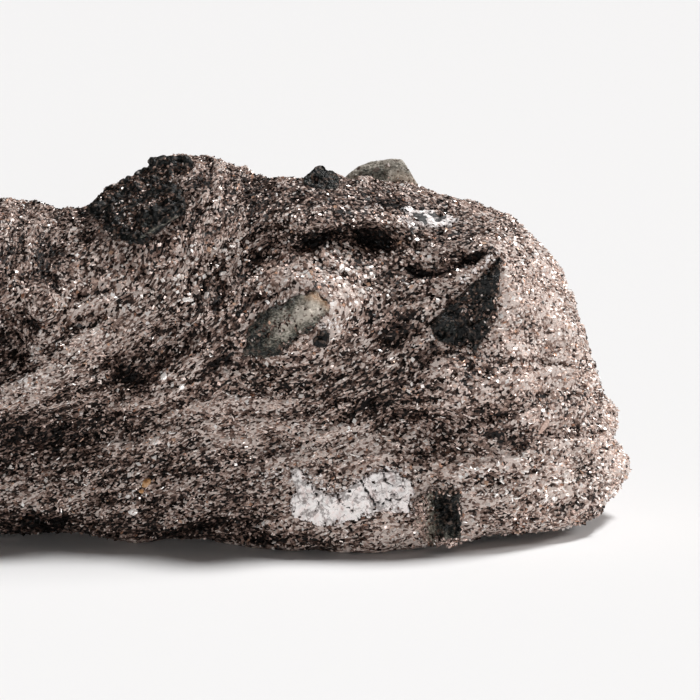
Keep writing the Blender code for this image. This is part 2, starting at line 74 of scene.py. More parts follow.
lens = bpy.data.cameras.new("long lens")
lens.sensor_width = SENSOR
lens.lens = PIXELS_FOCAL * SENSOR / PHOTO_SIZE
camera = in_scene("camera", lens)
toward = Vector((0, math.cos(ELEVATION), -math.sin(ELEVATION)))
upward = Vector((0, math.sin(ELEVATION), math.cos(ELEVATION)))
camera.location = AIM - toward * DISTANCE
camera.rotation_euler = (math.pi / 2 - ELEVATION, 0, 0)
lens.clip_start, lens.clip_end = 0.05, 20.0
bpy.context.scene.camera = camera
bpy.context.scene.view_settings.view_transform = "Standard"


def photo_ray(px, py):
    """The direction in which the camera looks through a pixel of the picture."""
    across = (px - PHOTO_SIZE / 2) / PIXELS_FOCAL
    down = (py - PHOTO_SIZE / 2) / PIXELS_FOCAL
    return (toward + Vector((1, 0, 0)) * across - upward * down).normalized()


def seen_at(p):
    """Where in the picture, in pixels, the camera sees rows of points given in mm."""
    from_camera = p - np.array(camera.location) / MM
    depth = from_camera @ np.array(toward)
    across = PIXELS_FOCAL * from_camera[:, 0] / depth
    up = PIXELS_FOCAL * (from_camera @ np.array(upward)) / depth
    return np.stack((PHOTO_SIZE / 2 + across, PHOTO_SIZE / 2 - up), axis=1)


def near_mark(pixels, mark, reach):
    """1 on a mark, a spot or a line of corners in the picture, falling to 0 at a reach in mm from it."""
    corners = np.array(mark, float)
    nearest = np.full(len(pixels), 1e9)
    for here, after in zip(corners, corners[1:] if len(corners) > 1 else corners):
        along = after - here
        t = np.clip((pixels - here) @ along / max(along @ along, 1e-9), 0, 1)
        nearest = np.minimum(nearest, np.linalg.norm(pixels - here - t[:, None] * along, axis=1))
    return np.clip(1 - (nearest * DISTANCE / MM / PIXELS_FOCAL / reach) ** 2, 0, 1) ** 2


# %% [markdown]
# Schist splits along its layers, and everything on it follows them: the ledges, the way the flakes lie and
# the streaks of colour. One smooth function gives the height of a point within the layers. Where the
# function is level, a layer runs. Its slope gives the direction in which a flake faces. The layers climb to
# the right on the left half, run flat on the right half, and bend round the big lump in the middle.

# %% Describe the layers
LEFT_CLIMB = 0.62
FLATTENS_OVER = 28.0
LUMP = (18.0, 46.0)
LUMP_REACH = 31.0
LUMP_LIFT = 6.5
LUMP_LEAN = 0.55
LUMP_EDGE = 8.0
LOW_CLIMB = 0.5
LOW_CLIMB_LOSS = 0.2
FRONT_Y = -38.0
BACK_LEAN = 0.12
TOP_LEAN = 0.95
LEAN_REACH = 20.0
SLOPE_STEP = 0.25


def smooth_step(value, low, high):
    t = np.clip((value - low) / (high - low), 0, 1)
    return t * t * (3 - 2 * t)


def layer_height(p):
    """Height in the layers, in mm, of points given as rows of x, y, z in mm."""
    x, y, z = p[:, 0], p[:, 1], p[:, 2]
    climb = np.where(x < 0, LEFT_CLIMB * x, LEFT_CLIMB * FLATTENS_OVER * np.tanh(x / FLATTENS_OVER))
    low_share = LOW_CLIMB - LOW_CLIMB_LOSS * smooth_step(x, -14, 12)
    climb = climb * (low_share + (1 - low_share) * smooth_step(z, 4, 60))
    across, above = x - LUMP[0], z - LUMP[1]
    near = np.clip(1 - (across**2 + above**2) / LUMP_REACH**2, 0, 1) ** 2
    bend = LUMP_LIFT * near * np.tanh((above - LUMP_LEAN * across) / LUMP_EDGE)
    leaning = smooth_step(z, 34, 56) * (1 - smooth_step(x, 14, 48))
    lean = -(BACK_LEAN + TOP_LEAN * leaning) * LEAN_REACH * np.tanh((y - FRONT_Y) / LEAN_REACH)
    return z - climb - bend + lean


def layer_facing(p):
    """The direction, as unit rows, in which a flake lying in its layer faces."""
    slopes = []
    for axis in range(3):
        shift = np.zeros(3)
        shift[axis] = SLOPE_STEP
        slopes.append((layer_height(p + shift) - layer_height(p - shift)) / (2 * SLOPE_STEP))
    way = np.stack(slopes, axis=1)
    return way / np.linalg.norm(way, axis=1, keepdims=True)


def noise_at(p, wave, seed=0.0):
    """Soft noise from -1 to 1 at rows of points, with bumps about a wave apart."""
    at = p / wave + np.array((seed, 1.7 * seed, -0.6 * seed))
    return np.array([noise.noise(v) for v in at.tolist()])


def layer_place(p):
    """Points moved to where they would be if the layers were ironed flat."""
    return np.stack((p[:, 0], p[:, 1], layer_height(p)), axis=1)


# %% [markdown]
# The block's solid is faceted and stops short of its crystals by a hair. Its skin here is a fine even mesh,
# made by a voxel remesh of a copy. The remesh makes faces of one size everywhere, which is what small relief
# needs. The copy is merged first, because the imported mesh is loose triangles.

# %% Make the fine skin of the block
SKIN_VOXEL = 0.84 * MM
CRYSTALS = sorted(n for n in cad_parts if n.startswith("alexandrite"))
PATCHES = sorted(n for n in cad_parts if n.startswith("feldspar"))


def mesh_from(bm, name):
    """A new mesh with what a bmesh holds. The bmesh is used up."""
    mesh = bpy.data.meshes.new(name)
    bm.to_mesh(mesh)
    bm.free()
    return mesh


def merged_copy(node, name):
    """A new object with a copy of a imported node's mesh, its loose triangles joined up."""
    bm = bmesh.new()
    bm.from_mesh(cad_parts[node].data)
    bmesh.ops.remove_doubles(bm, verts=bm.verts, dist=1e-6)
    return in_scene(name, mesh_from(bm, name))


def freeze(piece):
    """Replaces the piece's mesh with what its modifiers make of it."""
    graph = bpy.context.evaluated_depsgraph_get()
    graph.update()
    mesh = bpy.data.meshes.new_from_object(piece.evaluated_get(graph))
    piece.modifiers.clear()
    old = piece.data
    piece.data = mesh
    bpy.data.meshes.remove(old)


def even_mesh(piece, voxel):
    remesh = piece.modifiers.new("even faces", "REMESH")
    remesh.mode = "VOXEL"
    remesh.voxel_size = voxel
    freeze(piece)


def rows_of(piece, what):
    flat = np.zeros(len(piece.data.vertices) * 3, np.float32)
    piece.data.vertices.foreach_get(what, flat)
    return flat.reshape(-1, 3).astype(float)


def places(piece):
    """The mesh's points as rows in mm."""
    return rows_of(piece, "co") / MM


def outward(piece):
    return rows_of(piece, "normal")


def put_places(piece, p):
    piece.data.vertices.foreach_set("co", (p * MM).astype(np.float32).ravel())
    piece.data.update()


def triangle_count(piece):
    return sum(len(face.vertices) - 2 for face in piece.data.polygons)


skin = merged_copy("mica_schist", "schist_skin")
even_mesh(skin, SKIN_VOXEL)
print("skin:", triangle_count(skin), "triangles")

# %% [markdown]
# Next to the crystals the skin must not move away, so each point needs its distance to the nearest grown-in
# piece. A bounding volume tree of all those pieces answers that quickly.

# %% Measure how near the crystals are
FAR = 6.0


def tree_of(meshes):
    """One search tree over several meshes, in mm."""
    points, faces = [], []
    for mesh in meshes:
        start = len(points)
        points += [v.co / MM for v in mesh.vertices]
        faces += [tuple(start + i for i in face.vertices) for face in mesh.polygons]
    return BVHTree.FromPolygons(points, faces)


def distance_to(tree, p):
    """For rows of points: distance, negative inside, and the nearest point, or far away."""
    apart = np.full(len(p), FAR)
    nearest = p.copy()
    for i, place in enumerate(p.tolist()):
        hit, normal, _, length = tree.find_nearest(place, FAR)
        if hit is not None:
            side = (Vector(place) - hit).dot(normal)
            apart[i] = length if side >= 0 else -length
            nearest[i] = hit
    return apart, nearest


grown_in = tree_of([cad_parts[node].data for node in CRYSTALS + PATCHES])
apart, _ = distance_to(grown_in, places(skin))
print("skin points within 1 mm of a crystal:", int((apart < 1).sum()))

# %% [markdown]
# The relief has three sizes. Ledges a few millimetres thick are the edges of the layers: each rises slowly
# and breaks off. Between them run thin ribs, and over everything lies a grain of small pits. All of it is
# read in ironed-flat layer coordinates, so that it is drawn out along the layers as in the real stone. The
# ribs and grooves that give this very stone its face are a short list of lines, each drawn in the camera's
# picture. Only skin that faces the camera follows them.

# %% Raise the relief of the skin
LEDGE = 4.6
LEDGE_DEPTH = 1.25
RIB = 1.9
RIB_DEPTH = 0.55
LUMP_DEPTH = 1.0
GRAIN_DEPTH = 0.42
DRAWN_OUT = np.array((0.42, 0.42, 1.0))


# Ribs and grooves: name, corners in the picture, reach to each side in mm, how far it stands out in mm.
CREASES = [
    ("rib beside the left pocket", ((20, 322), (30, 342), (44, 362)), 1.7, 1.0),
    ("long pale rib", ((0, 402), (20, 388), (46, 374), (72, 352), (98, 335)), 2.1, 0.8),
    ("left pocket", ((2, 335), (12, 345), (18, 360)), 2.4, -0.6),
    ("black hollow of the valley", ((127, 372), (146, 390)), 2.6, -0.5),
    ("valley beside the lump", ((262, 252), (232, 290), (205, 322), (170, 352)), 2.6, -0.6),
    ("line over the orange grain", ((153, 476), (184, 466)), 0.9, -0.7),
    ("toe hollow", ((30, 521), (48, 527), (64, 521)), 2.4, -1.5),
    ("lip over the toe hollow", ((34, 503), (54, 511), (63, 503)), 1.1, 0.7),
    ("outer arc round the lump", ((226, 298), (248, 284), (272, 274), (310, 264)), 0.9, 0.6),
    ("inner arc round the lump", ((224, 324), (240, 302), (262, 287), (296, 277)), 0.8, 0.5),
    ("brow, left", ((296, 244), (324, 245)), 1.6, -0.8),
    ("brow, right", ((364, 240), (382, 246)), 1.6, -0.8),
    ("crescent groove", ((409, 267), (425, 275), (444, 273), (464, 264), (477, 254), (490, 249)), 1.2, -0.7),
    ("lip over the wedge", ((498, 253), (473, 271), (457, 285), (431, 309)), 0.8, 0.5),
    ("dark band, middle", ((430, 436), (450, 446), (478, 451), (496, 453)), 1.8, -0.4),
    ("dark band, right", ((513, 448), (546, 450)), 1.5, -0.6),
    ("line to the notch", ((560, 438), (602, 432)), 1.1, -0.9),
    ("upper line of the right face", ((500, 362), (540, 360), (590, 368)), 0.9, -0.6),
    ("lower line of the right face", ((505, 398), (550, 392), (600, 396)), 0.9, -0.6),
    ("line under the middle", ((330, 402), (358, 400), (394, 406)), 0.9, -0.7),
    ("slit over the white patch", ((299, 464), (310, 470), (320, 480), (328, 487)), 0.8, -0.6),
    ("splinters by the white patch", ((385, 507), (397, 513), (407, 519)), 0.9, -0.5),
    ("shade under the worn crystal", ((250, 364), (263, 371), (276, 368)), 1.3, -0.7),
]


def faces_camera(way_out):
    """1 where unit rows point at the camera, falling to 0 where they turn away from it."""
    return smooth_step(-(way_out @ np.array(toward)), -0.05, 0.25)


def marked(p, way_out, marks):
    """The sum of a list's marks at each point that faces the camera. A mark may end with a strength."""
    pixels = seen_at(p)
    total = 0
    for _, mark, reach, *strength in marks:
        total = total + (strength[0] if strength else 1.0) * near_mark(pixels, mark, reach)
    return faces_camera(way_out) * total


def saw(value):
    """Climbs from -0.5 to 0.5 and drops back, once for each whole number."""
    return value - np.floor(value) - 0.5


def relief(p):
    """How far the skin stands out at rows of points, in mm."""
    flat = layer_place(p)
    height = flat[:, 2]
    wander = noise_at(p, 22, 3.1)
    ledges = saw(height / LEDGE + 0.9 * wander) * (0.35 + 0.65 * smooth_step(noise_at(p, 17, 8.2), -0.3, 0.4))
    ribs = saw(height / RIB + 0.8 * noise_at(p, 9, 5.5)) * (0.5 + 0.5 * noise_at(p, 12, 2.2))
    lumps = noise_at(flat * DRAWN_OUT, 3.4, 7.0)
    grain = noise_at(flat * DRAWN_OUT, 1.25, 11.0)
    return LEDGE_DEPTH * ledges + RIB_DEPTH * ribs + LUMP_DEPTH * lumps + GRAIN_DEPTH * grain


p = places(skin)
free = smooth_step(apart, 0.6, 3.4)[:, None]
above_table = smooth_step(p[:, 2], 0.3, 4.0)[:, None]
lift = (relief(p) + marked(p, outward(skin), CREASES))[:, None]
moved = p + outward(skin) * lift * free * (0.15 + 0.85 * above_table)
put_places(skin, moved)
print("relief up to", round(float(np.abs(moved - p).max()), 2), "mm")

# %% [markdown]
# The solids keep a gap of about a third of a millimetre, which would show as a dark line round each crystal.
# In the real stone the schist grips the crystal. So points of the skin that are close to one are drawn
# against it, fully at the rim and less and less further off.

# %% Close the skin round the crystals
GRIP = 0.55
GRIP_REACH = 2.0
TUCK = 0.08
p = places(skin)
apart, nearest = distance_to(grown_in, p)
pull = GRIP * (1 - smooth_step(apart, 0.5, GRIP_REACH))
target = np.maximum(apart - pull, -TUCK)
share = np.where(np.abs(apart) > 1e-4, (apart - target) / np.where(np.abs(apart) > 1e-4, apart, 1), 0)
share = np.where(apart < GRIP_REACH, share, 0)[:, None]
p = p + (nearest - p) * share
p[:, 2] = np.maximum(p[:, 2], 0.0)
put_places(skin, p)
print("points drawn in:", int((share > 0.01).sum()))

# %% [markdown]
# What the finishes and the flakes need to know is kept on the mesh as attributes: the ironed-flat place,
# the way the layer faces, how pale the stone is there, painted light and shade included, and how much room
# there is for flakes. Paleness has four causes. Soft spots stand for areas richer in quartz or in black mica,
# as a painter would block them in; some spots are painted shade, as under the brow and along the foot, and
# some painted light, as on the right face and low in the middle. The creases paint shade in their grooves
# and light on their ribs. Hollows get painted shade and what stands out gets painted light, read from how far
# a point stands out from its smoothed surroundings. Last, the mix is cloudy, and the clouds are drawn out
# along the layers.

# %% Note layers, tone with painted light and shade, and room on the skin
# Soft spots of tone, some of them painted light and shade: name, corners in the picture, reach in mm, how much
# paler (or darker, if negative).
TONES_AND_SHADES = [
    # Partly paler stone, partly painted light on the face that the right lamp lights.
    ("right face", ((545, 300), (565, 380), (585, 450)), 15, 0.60),
    ("right of the wedge", ((503, 285), (510, 335)), 4, 0.22),
    ("lower right", ((490, 470), (560, 490), (600, 470)), 12, 0.30),
    ("bright slope under the brow", ((326, 268), (358, 292), (346, 322)), 8, 0.32),
    ("pale ring over the worn crystal", ((238, 268), (262, 272), (292, 284)), 4.5, 0.34),
    ("glittering slope", ((160, 292), (200, 292)), 6, -0.12),
    ("pale crest on the right", ((470, 210), (540, 255)), 5, 0.20),
    ("grey crest", ((350, 205), (440, 228)), 7, -0.20),
    # Painted shadow under the brow.
    ("under the brow, left", ((296, 243), (324, 244)), 2.8, -0.5),
    ("under the brow, right", ((362, 240), (382, 245)), 2.6, -0.35),
    # Painted highlight where glints catch the light under the brow.
    ("glints under the brow", ((250, 248), (280, 246), (340, 250)), 2.2, 0.25),
    ("dark band, middle", ((425, 432), (465, 446), (496, 452)), 5, 0.12),
    ("dark band, right", ((510, 446), (548, 450)), 3.2, -0.16),
    ("lower left", ((20, 440), (80, 470), (60, 500)), 13, -0.05),
    # Painted light below the lumps, in the top lamp's shadow.
    ("middle, low", ((284, 440), (375, 438), (440, 420)), 6, 0.46),
    ("grey middle", ((350, 383), (425, 380)), 6.5, -0.20),
    ("pale streak of the middle", ((165, 410), (285, 412)), 6, 0.40),
    ("pale streak, lower", ((216, 440), (250, 441)), 4.5, 0.80),
    ("below the valley", ((128, 348), (166, 332)), 6, 0.48),
    ("over the long rib", ((74, 325), (112, 316)), 5, 0.28),
    ("left edge", ((4, 318), (14, 345)), 5, 0.32),
    ("under the left rib", ((42, 346), (48, 356)), 4, 0.28),
    ("left of the valley", ((45, 284), (48, 322)), 4, -0.28),
    ("left slope", ((76, 292), (130, 286)), 7, 0.24),
    ("edge of the lump", ((222, 260), (230, 290)), 4, 0.30),
    ("over the brow", ((308, 228), (352, 228)), 4, -0.24),
    ("dull stripe right of the ridge", ((193, 188), (197, 235)), 4, -0.22),
    ("over the tip of the wedge", ((495, 262), (528, 266)), 3.5, -0.18),
    ("left of the wedge", ((375, 318), (420, 325)), 4, -0.18),
    ("below the chip", ((318, 378), (344, 352), (374, 350)), 4.5, 0.30),
    # Painted shade on the right edge, which the right lamp brightens.
    ("right edge", ((574, 408), (588, 440), (590, 505)), 6.5, -0.42),
    ("over the foot crystal", ((490, 462), (510, 462)), 5, 0.15),
    ("grey strip, low left", ((165, 503), (225, 502)), 5, -0.28),
    ("grey spot left of the patch", ((284, 504), (286, 502)), 3, -0.22),
    # Painted shade along the foot, next to the table.
    ("foot, left", ((4, 522), (48, 530)), 5, -0.26),
    ("dark rim under the patch", ((296, 514), (318, 523), (350, 521), (372, 513)), 0.9, -0.5),
    ("dark rim over the patch", ((345, 484), (362, 473), (382, 469), (404, 474)), 0.6, -0.2),
    ("left of the tip of the wedge", ((463, 282), (450, 296)), 1.6, -0.4),
    ("bump over the crescent groove", ((376, 262), (405, 256), (440, 258)), 3, 0.28),
    ("below the left crest", ((45, 228), (104, 262)), 5, 0.22),
    ("pale streak, lower left", ((96, 438), (165, 440)), 5, 0.22),
    ("pale spot, lower left", ((222, 470), (224, 472)), 4, 0.26),
    # Painted shade on the lower right corner, which the right lamp brightens.
    ("lower right corner", ((556, 470), (592, 472)), 5, -0.25),
    ("left end of the long rib", ((4, 408), (20, 412)), 4, -0.2),
    ("over the white patch", ((250, 470), (380, 455)), 7, 0.14),
    ("crest by the knob", ((250, 195), (330, 205)), 7, -0.12),
    # Painted shade in the hollow of the valley.
    ("hollow of the valley", ((128, 372), (148, 392)), 5, -0.10),
    ("left of the ridge crystals", ((60, 232), (110, 262)), 9, -0.10),
    ("round the ridge crystals", ((92, 208), (120, 178), (150, 160)), 4.5, -0.45),
    ("right of the ridge crystals", ((150, 240), (178, 205), (200, 178)), 3.0, -0.22),
    # Painted shade in the left pocket.
    ("left pocket", ((4, 340), (14, 355)), 5, -0.05),
    ("long pale rib", ((0, 402), (46, 374), (98, 335)), 3.6, 0.22),
    # Painted shade along the foot, next to the table.
    ("foot", ((0, 526), (150, 532), (330, 543)), 4, -0.42),
    ("foot, right", ((378, 532), (412, 532)), 3, 0.25),
    ("right of the foot crystal", ((466, 500), (468, 532)), 3.5, 0.25),
    # Painted shade in the crescent groove.
    ("crescent groove", ((409, 267), (425, 275), (444, 273), (464, 264), (490, 249)), 1.8, -0.5),
    ("pale ledge", ((500, 446), (508, 458)), 2.4, 0.3),
    ("grey spots of the right face", ((542, 302), (542, 303)), 1.6, -0.4),
    ("grey spot, lower", ((529, 339), (529, 340)), 1.6, -0.4),
]
CREASE_LIGHT_AND_SHADE = 0.20
SMALL_RELIEF_SHADING = (10, 0.9)
LARGE_RELIEF_SHADING = (130, 0.15)
CLOUDS = ((7.0, 0.07), (2.6, 0.10), (1.2, 0.12))


def smoothed(piece, p, times):
    """The points after each has gone to the middle of its neighbours a number of times."""
    pairs = np.zeros(len(piece.data.edges) * 2, np.int32)
    piece.data.edges.foreach_get("vertices", pairs)
    first, second = pairs.reshape(-1, 2).T
    size = len(p)
    count = (np.bincount(first, minlength=size) + np.bincount(second, minlength=size))[:, None]
    for _ in range(times):
        sums = [
            np.bincount(first, p[second, k], size) + np.bincount(second, p[first, k], size) for k in range(3)
        ]
        p = np.stack(sums, axis=1) / count
    return p


def tone_and_shade_at(piece, p, way_out):
    """How much paler than the middling stone each point is."""
    tone_and_shade = marked(p, way_out, TONES_AND_SHADES)
    # Painted shade along the grooves and painted light along the ribs of the creases.
    tone_and_shade += CREASE_LIGHT_AND_SHADE * marked(p, way_out, CREASES)
    # Painted shade in the hollows and painted light on what stands out.
    for times, strength in (SMALL_RELIEF_SHADING, LARGE_RELIEF_SHADING):
        stands_out = ((p - smoothed(piece, p, times)) * way_out).sum(axis=1)
        tone_and_shade += np.clip(0.6 * strength * stands_out, -0.22, 0.2)
    flat = layer_place(p) * np.array((0.45, 0.45, 1.0))
    for number, (wave, strength) in enumerate(CLOUDS):
        tone_and_shade += strength * noise_at(flat, wave, 20.0 + number)
    return tone_and_shade


def note(piece, name, kind, values):
    """Keeps a value for each point on the mesh under a name."""
    layer = piece.data.attributes.get(name) or piece.data.attributes.new(name, kind, "POINT")
    key = "vector" if kind == "FLOAT_VECTOR" else "value"
    layer.data.foreach_set(key, np.asarray(values, np.float32).ravel())


p = places(skin)
way_out = outward(skin)
tone_and_shade = tone_and_shade_at(skin, p, way_out)
note(skin, "layer_place", "FLOAT_VECTOR", layer_place(p))
note(skin, "layer_facing", "FLOAT_VECTOR", layer_facing(p))
note(skin, "tone_and_shade", "FLOAT", tone_and_shade)
room = smooth_step(apart, 0.1, 0.5) * smooth_step(p[:, 2], 0.5, 1.2)
room = room * (1 - 0.75 * smooth_step(-way_out[:, 2], 0.5, 0.9))
note(skin, "room", "FLOAT", room)
print("tone from", round(float(np.percentile(tone_and_shade, 2)), 2), "to", round(float(np.percentile(tone_and_shade, 98)), 2))
print("room for flakes on", round(100 * float((room > 0.5).mean())), "% of the points")

# %% [markdown]
# Finishes are built from a few kinds of node, so one short helper adds a node, sets its fields and either
# sets or links each of its sockets. Colours are written as they look on screen, from 0 to 255, and turned
# into the linear values that a shader mixes.

# %% Helpers for finishes


def screen(red, green, blue):
    """A colour as seen on screen, in linear light."""
    shares = [c / 255 for c in (red, green, blue)]
    return tuple(c / 12.92 if c < 0.0404 else ((c + 0.055) / 1.055) ** 2.4 for c in shares) + (1.0,)


BLACK = (0, 0, 0, 1)
WHITE = (1, 1, 1, 1)
SHADER_SOCKETS = {"roughness": "Roughness", "metal": "Metallic", "ior": "IOR", "gloss": "Specular IOR Level"}


def add(tree, kind, sockets=None, **fields):
    """Adds a node. A socket's value is a number, a colour or another node's output."""
    made = tree.nodes.new(kind)
    for name, value in fields.items():
        setattr(made, name, value)
    for name, value in (sockets or {}).items():
        if isinstance(value, bpy.types.NodeSocket):
            tree.links.new(value, made.inputs[name])
        else:
            made.inputs[name].default_value = value
    return made


def sum_of(tree, first, second, factor=1.0):
    """first + second * factor."""
    return add(tree, "ShaderNodeMath", {0: second, 1: factor, 2: first}, operation="MULTIPLY_ADD").outputs[0]


def ramp(tree, value, stops, blend="LINEAR"):
    """A colour ramp from a list of (position, colour)."""
    made = add(tree, "ShaderNodeValToRGB", {0: value})
    made.color_ramp.interpolation = blend
    elements = made.color_ramp.elements
    while len(elements) < len(stops):
        elements.new(0.5)
    for element, (at, colour) in zip(elements, stops):
        element.position = at
        element.color = colour
    return made.outputs[0]


def vector_maths(tree, operation, first, second):
    return add(tree, "ShaderNodeVectorMath", {0: first, 1: second}, operation=operation).outputs


def scaled(tree, vector, x, y, z):
    return vector_maths(tree, "MULTIPLY", vector, (x, y, z))[0]


def soft_noise(tree, vector, scale, detail=2.0):
    """Noise with so many bumps to a millimetre of layer_place, or to a metre of Object coordinates."""
    sockets = {"Vector": vector, "Scale": scale, "Detail": detail}
    return add(tree, "ShaderNodeTexNoise", sockets).outputs["Fac"]


def mixed_colour(tree, share, first, second, **fields):
    """first, turning into second as the share goes from 0 to 1."""
    return add(tree, "ShaderNodeMix", {0: share, 6: first, 7: second}, data_type="RGBA", **fields).outputs[2]


def finish_of(name, **numbers):
    """A new finish with these shader numbers: its material, its tree and its Principled shader."""
    made = bpy.data.materials.new(name)
    made.use_nodes = True
    shader = made.node_tree.nodes["Principled BSDF"]
    for word, number in numbers.items():
        shader.inputs[SHADER_SOCKETS[word]].default_value = number
    return made, made.node_tree, shader


def make_bumpy(tree, shader, height, strength, distance):
    bump = add(tree, "ShaderNodeBump", {"Height": height, "Strength": strength, "Distance": distance})
    tree.links.new(bump.outputs[0], shader.inputs["Normal"])


def object_place(tree):
    return add(tree, "ShaderNodeTexCoord").outputs["Object"]


def wear(piece, finish):
    """Gives a piece one finish, in place of what it wore."""
    piece.data.materials.clear()
    piece.data.materials.append(finish)


def attribute(tree, name, output):
    return add(tree, "ShaderNodeAttribute", attribute_name=name, attribute_type="GEOMETRY").outputs[output]


# %% [markdown]
# The ground of the schist is packed mica: pinkish brown and black grains half a millimetre across, each
# with its own slope, so that some catch the light. A cell texture in layer coordinates makes the grains,
# longer along the layers than across. A height that slopes differently in each cell tilts the shading of
# each grain.

# %% Finish of the schist's ground
BLACK_MICA = screen(10, 8, 7)
SMOKE_MICA = screen(30, 23, 20)
BROWN_MICA = screen(78, 60, 53)
ROSY_MICA = screen(158, 134, 123)
PALE_MICA = screen(216, 201, 193)
TONE_AND_SHADE_SHARE = 0.75
STREAK_SHARE = 0.9
FINE_SHARE = 0.7
GROUND_SHIFT = -0.45


def cell_grains(tree, vector, scale):
    """Cells with a random colour, and a height that slopes its own way within each cell."""
    cells = add(tree, "ShaderNodeTexVoronoi", {"Vector": vector, "Scale": scale})
    grown = scaled(tree, vector, scale, scale, scale)
    offset = vector_maths(tree, "SUBTRACT", grown, cells.outputs["Position"])[0]
    slope = vector_maths(tree, "SUBTRACT", cells.outputs["Color"], (0.5, 0.5, 0.5))[0]
    return cells, vector_maths(tree, "DOT_PRODUCT", offset, slope)["Value"]


def schist_finish():
    finish, tree, shader = finish_of("mica schist ground", ior=1.58, gloss=0.16)
    place = attribute(tree, "layer_place", "Vector")
    tone_and_shade = attribute(tree, "tone_and_shade", "Fac")
    drawn = scaled(tree, place, 0.75, 0.75, 1.25)
    cells, height = cell_grains(tree, drawn, 2.0)
    pick = add(tree, "ShaderNodeSeparateColor", {0: cells.outputs["Color"]})
    streaks = soft_noise(tree, scaled(tree, place, 0.35, 0.35, 1.0), 0.42, detail=3)
    # The tone, with its painted light and shade, shifts the ground's colour.
    value = sum_of(tree, pick.outputs[0], tone_and_shade, TONE_AND_SHADE_SHARE)
    value = sum_of(tree, value, streaks, STREAK_SHARE)
    value = sum_of(tree, value, soft_noise(tree, scaled(tree, place, 0.7, 0.7, 1.6), 2.6), FINE_SHARE)
    value = sum_of(tree, value, GROUND_SHIFT - 0.5 * FINE_SHARE)
    colour = ramp(tree, value, [
        (0.0, BLACK_MICA), (0.32, SMOKE_MICA), (0.5, BROWN_MICA), (0.78, ROSY_MICA), (1.0, PALE_MICA),
    ])
    tree.links.new(colour, shader.inputs["Base Color"])
    shine = add(tree, "ShaderNodeMapRange", {"Value": pick.outputs[1], "To Min": 0.34, "To Max": 0.7})
    tree.links.new(shine.outputs[0], shader.inputs["Roughness"])
    grit = soft_noise(tree, drawn, 3.2, detail=3)
    make_bumpy(tree, shader, sum_of(tree, height, grit, 0.7), 0.9, 0.00035)
    return finish


wear(skin, schist_finish())

# %% [markdown]
# The flakes themselves are what makes schist glitter. Each is a thin four-sided plate, laid in its layer
# with some lean of its own and sunk a little into the skin. Tens of thousands of them cover the block.
# Geometry Nodes scatter them, because they follow a surface: points are dealt out over the skin, a plate is
# set on each, and the plates are made real, so that they stay in the exported model.

# %% Build the tree that scatters flakes
FLAKE_SIDES = 4


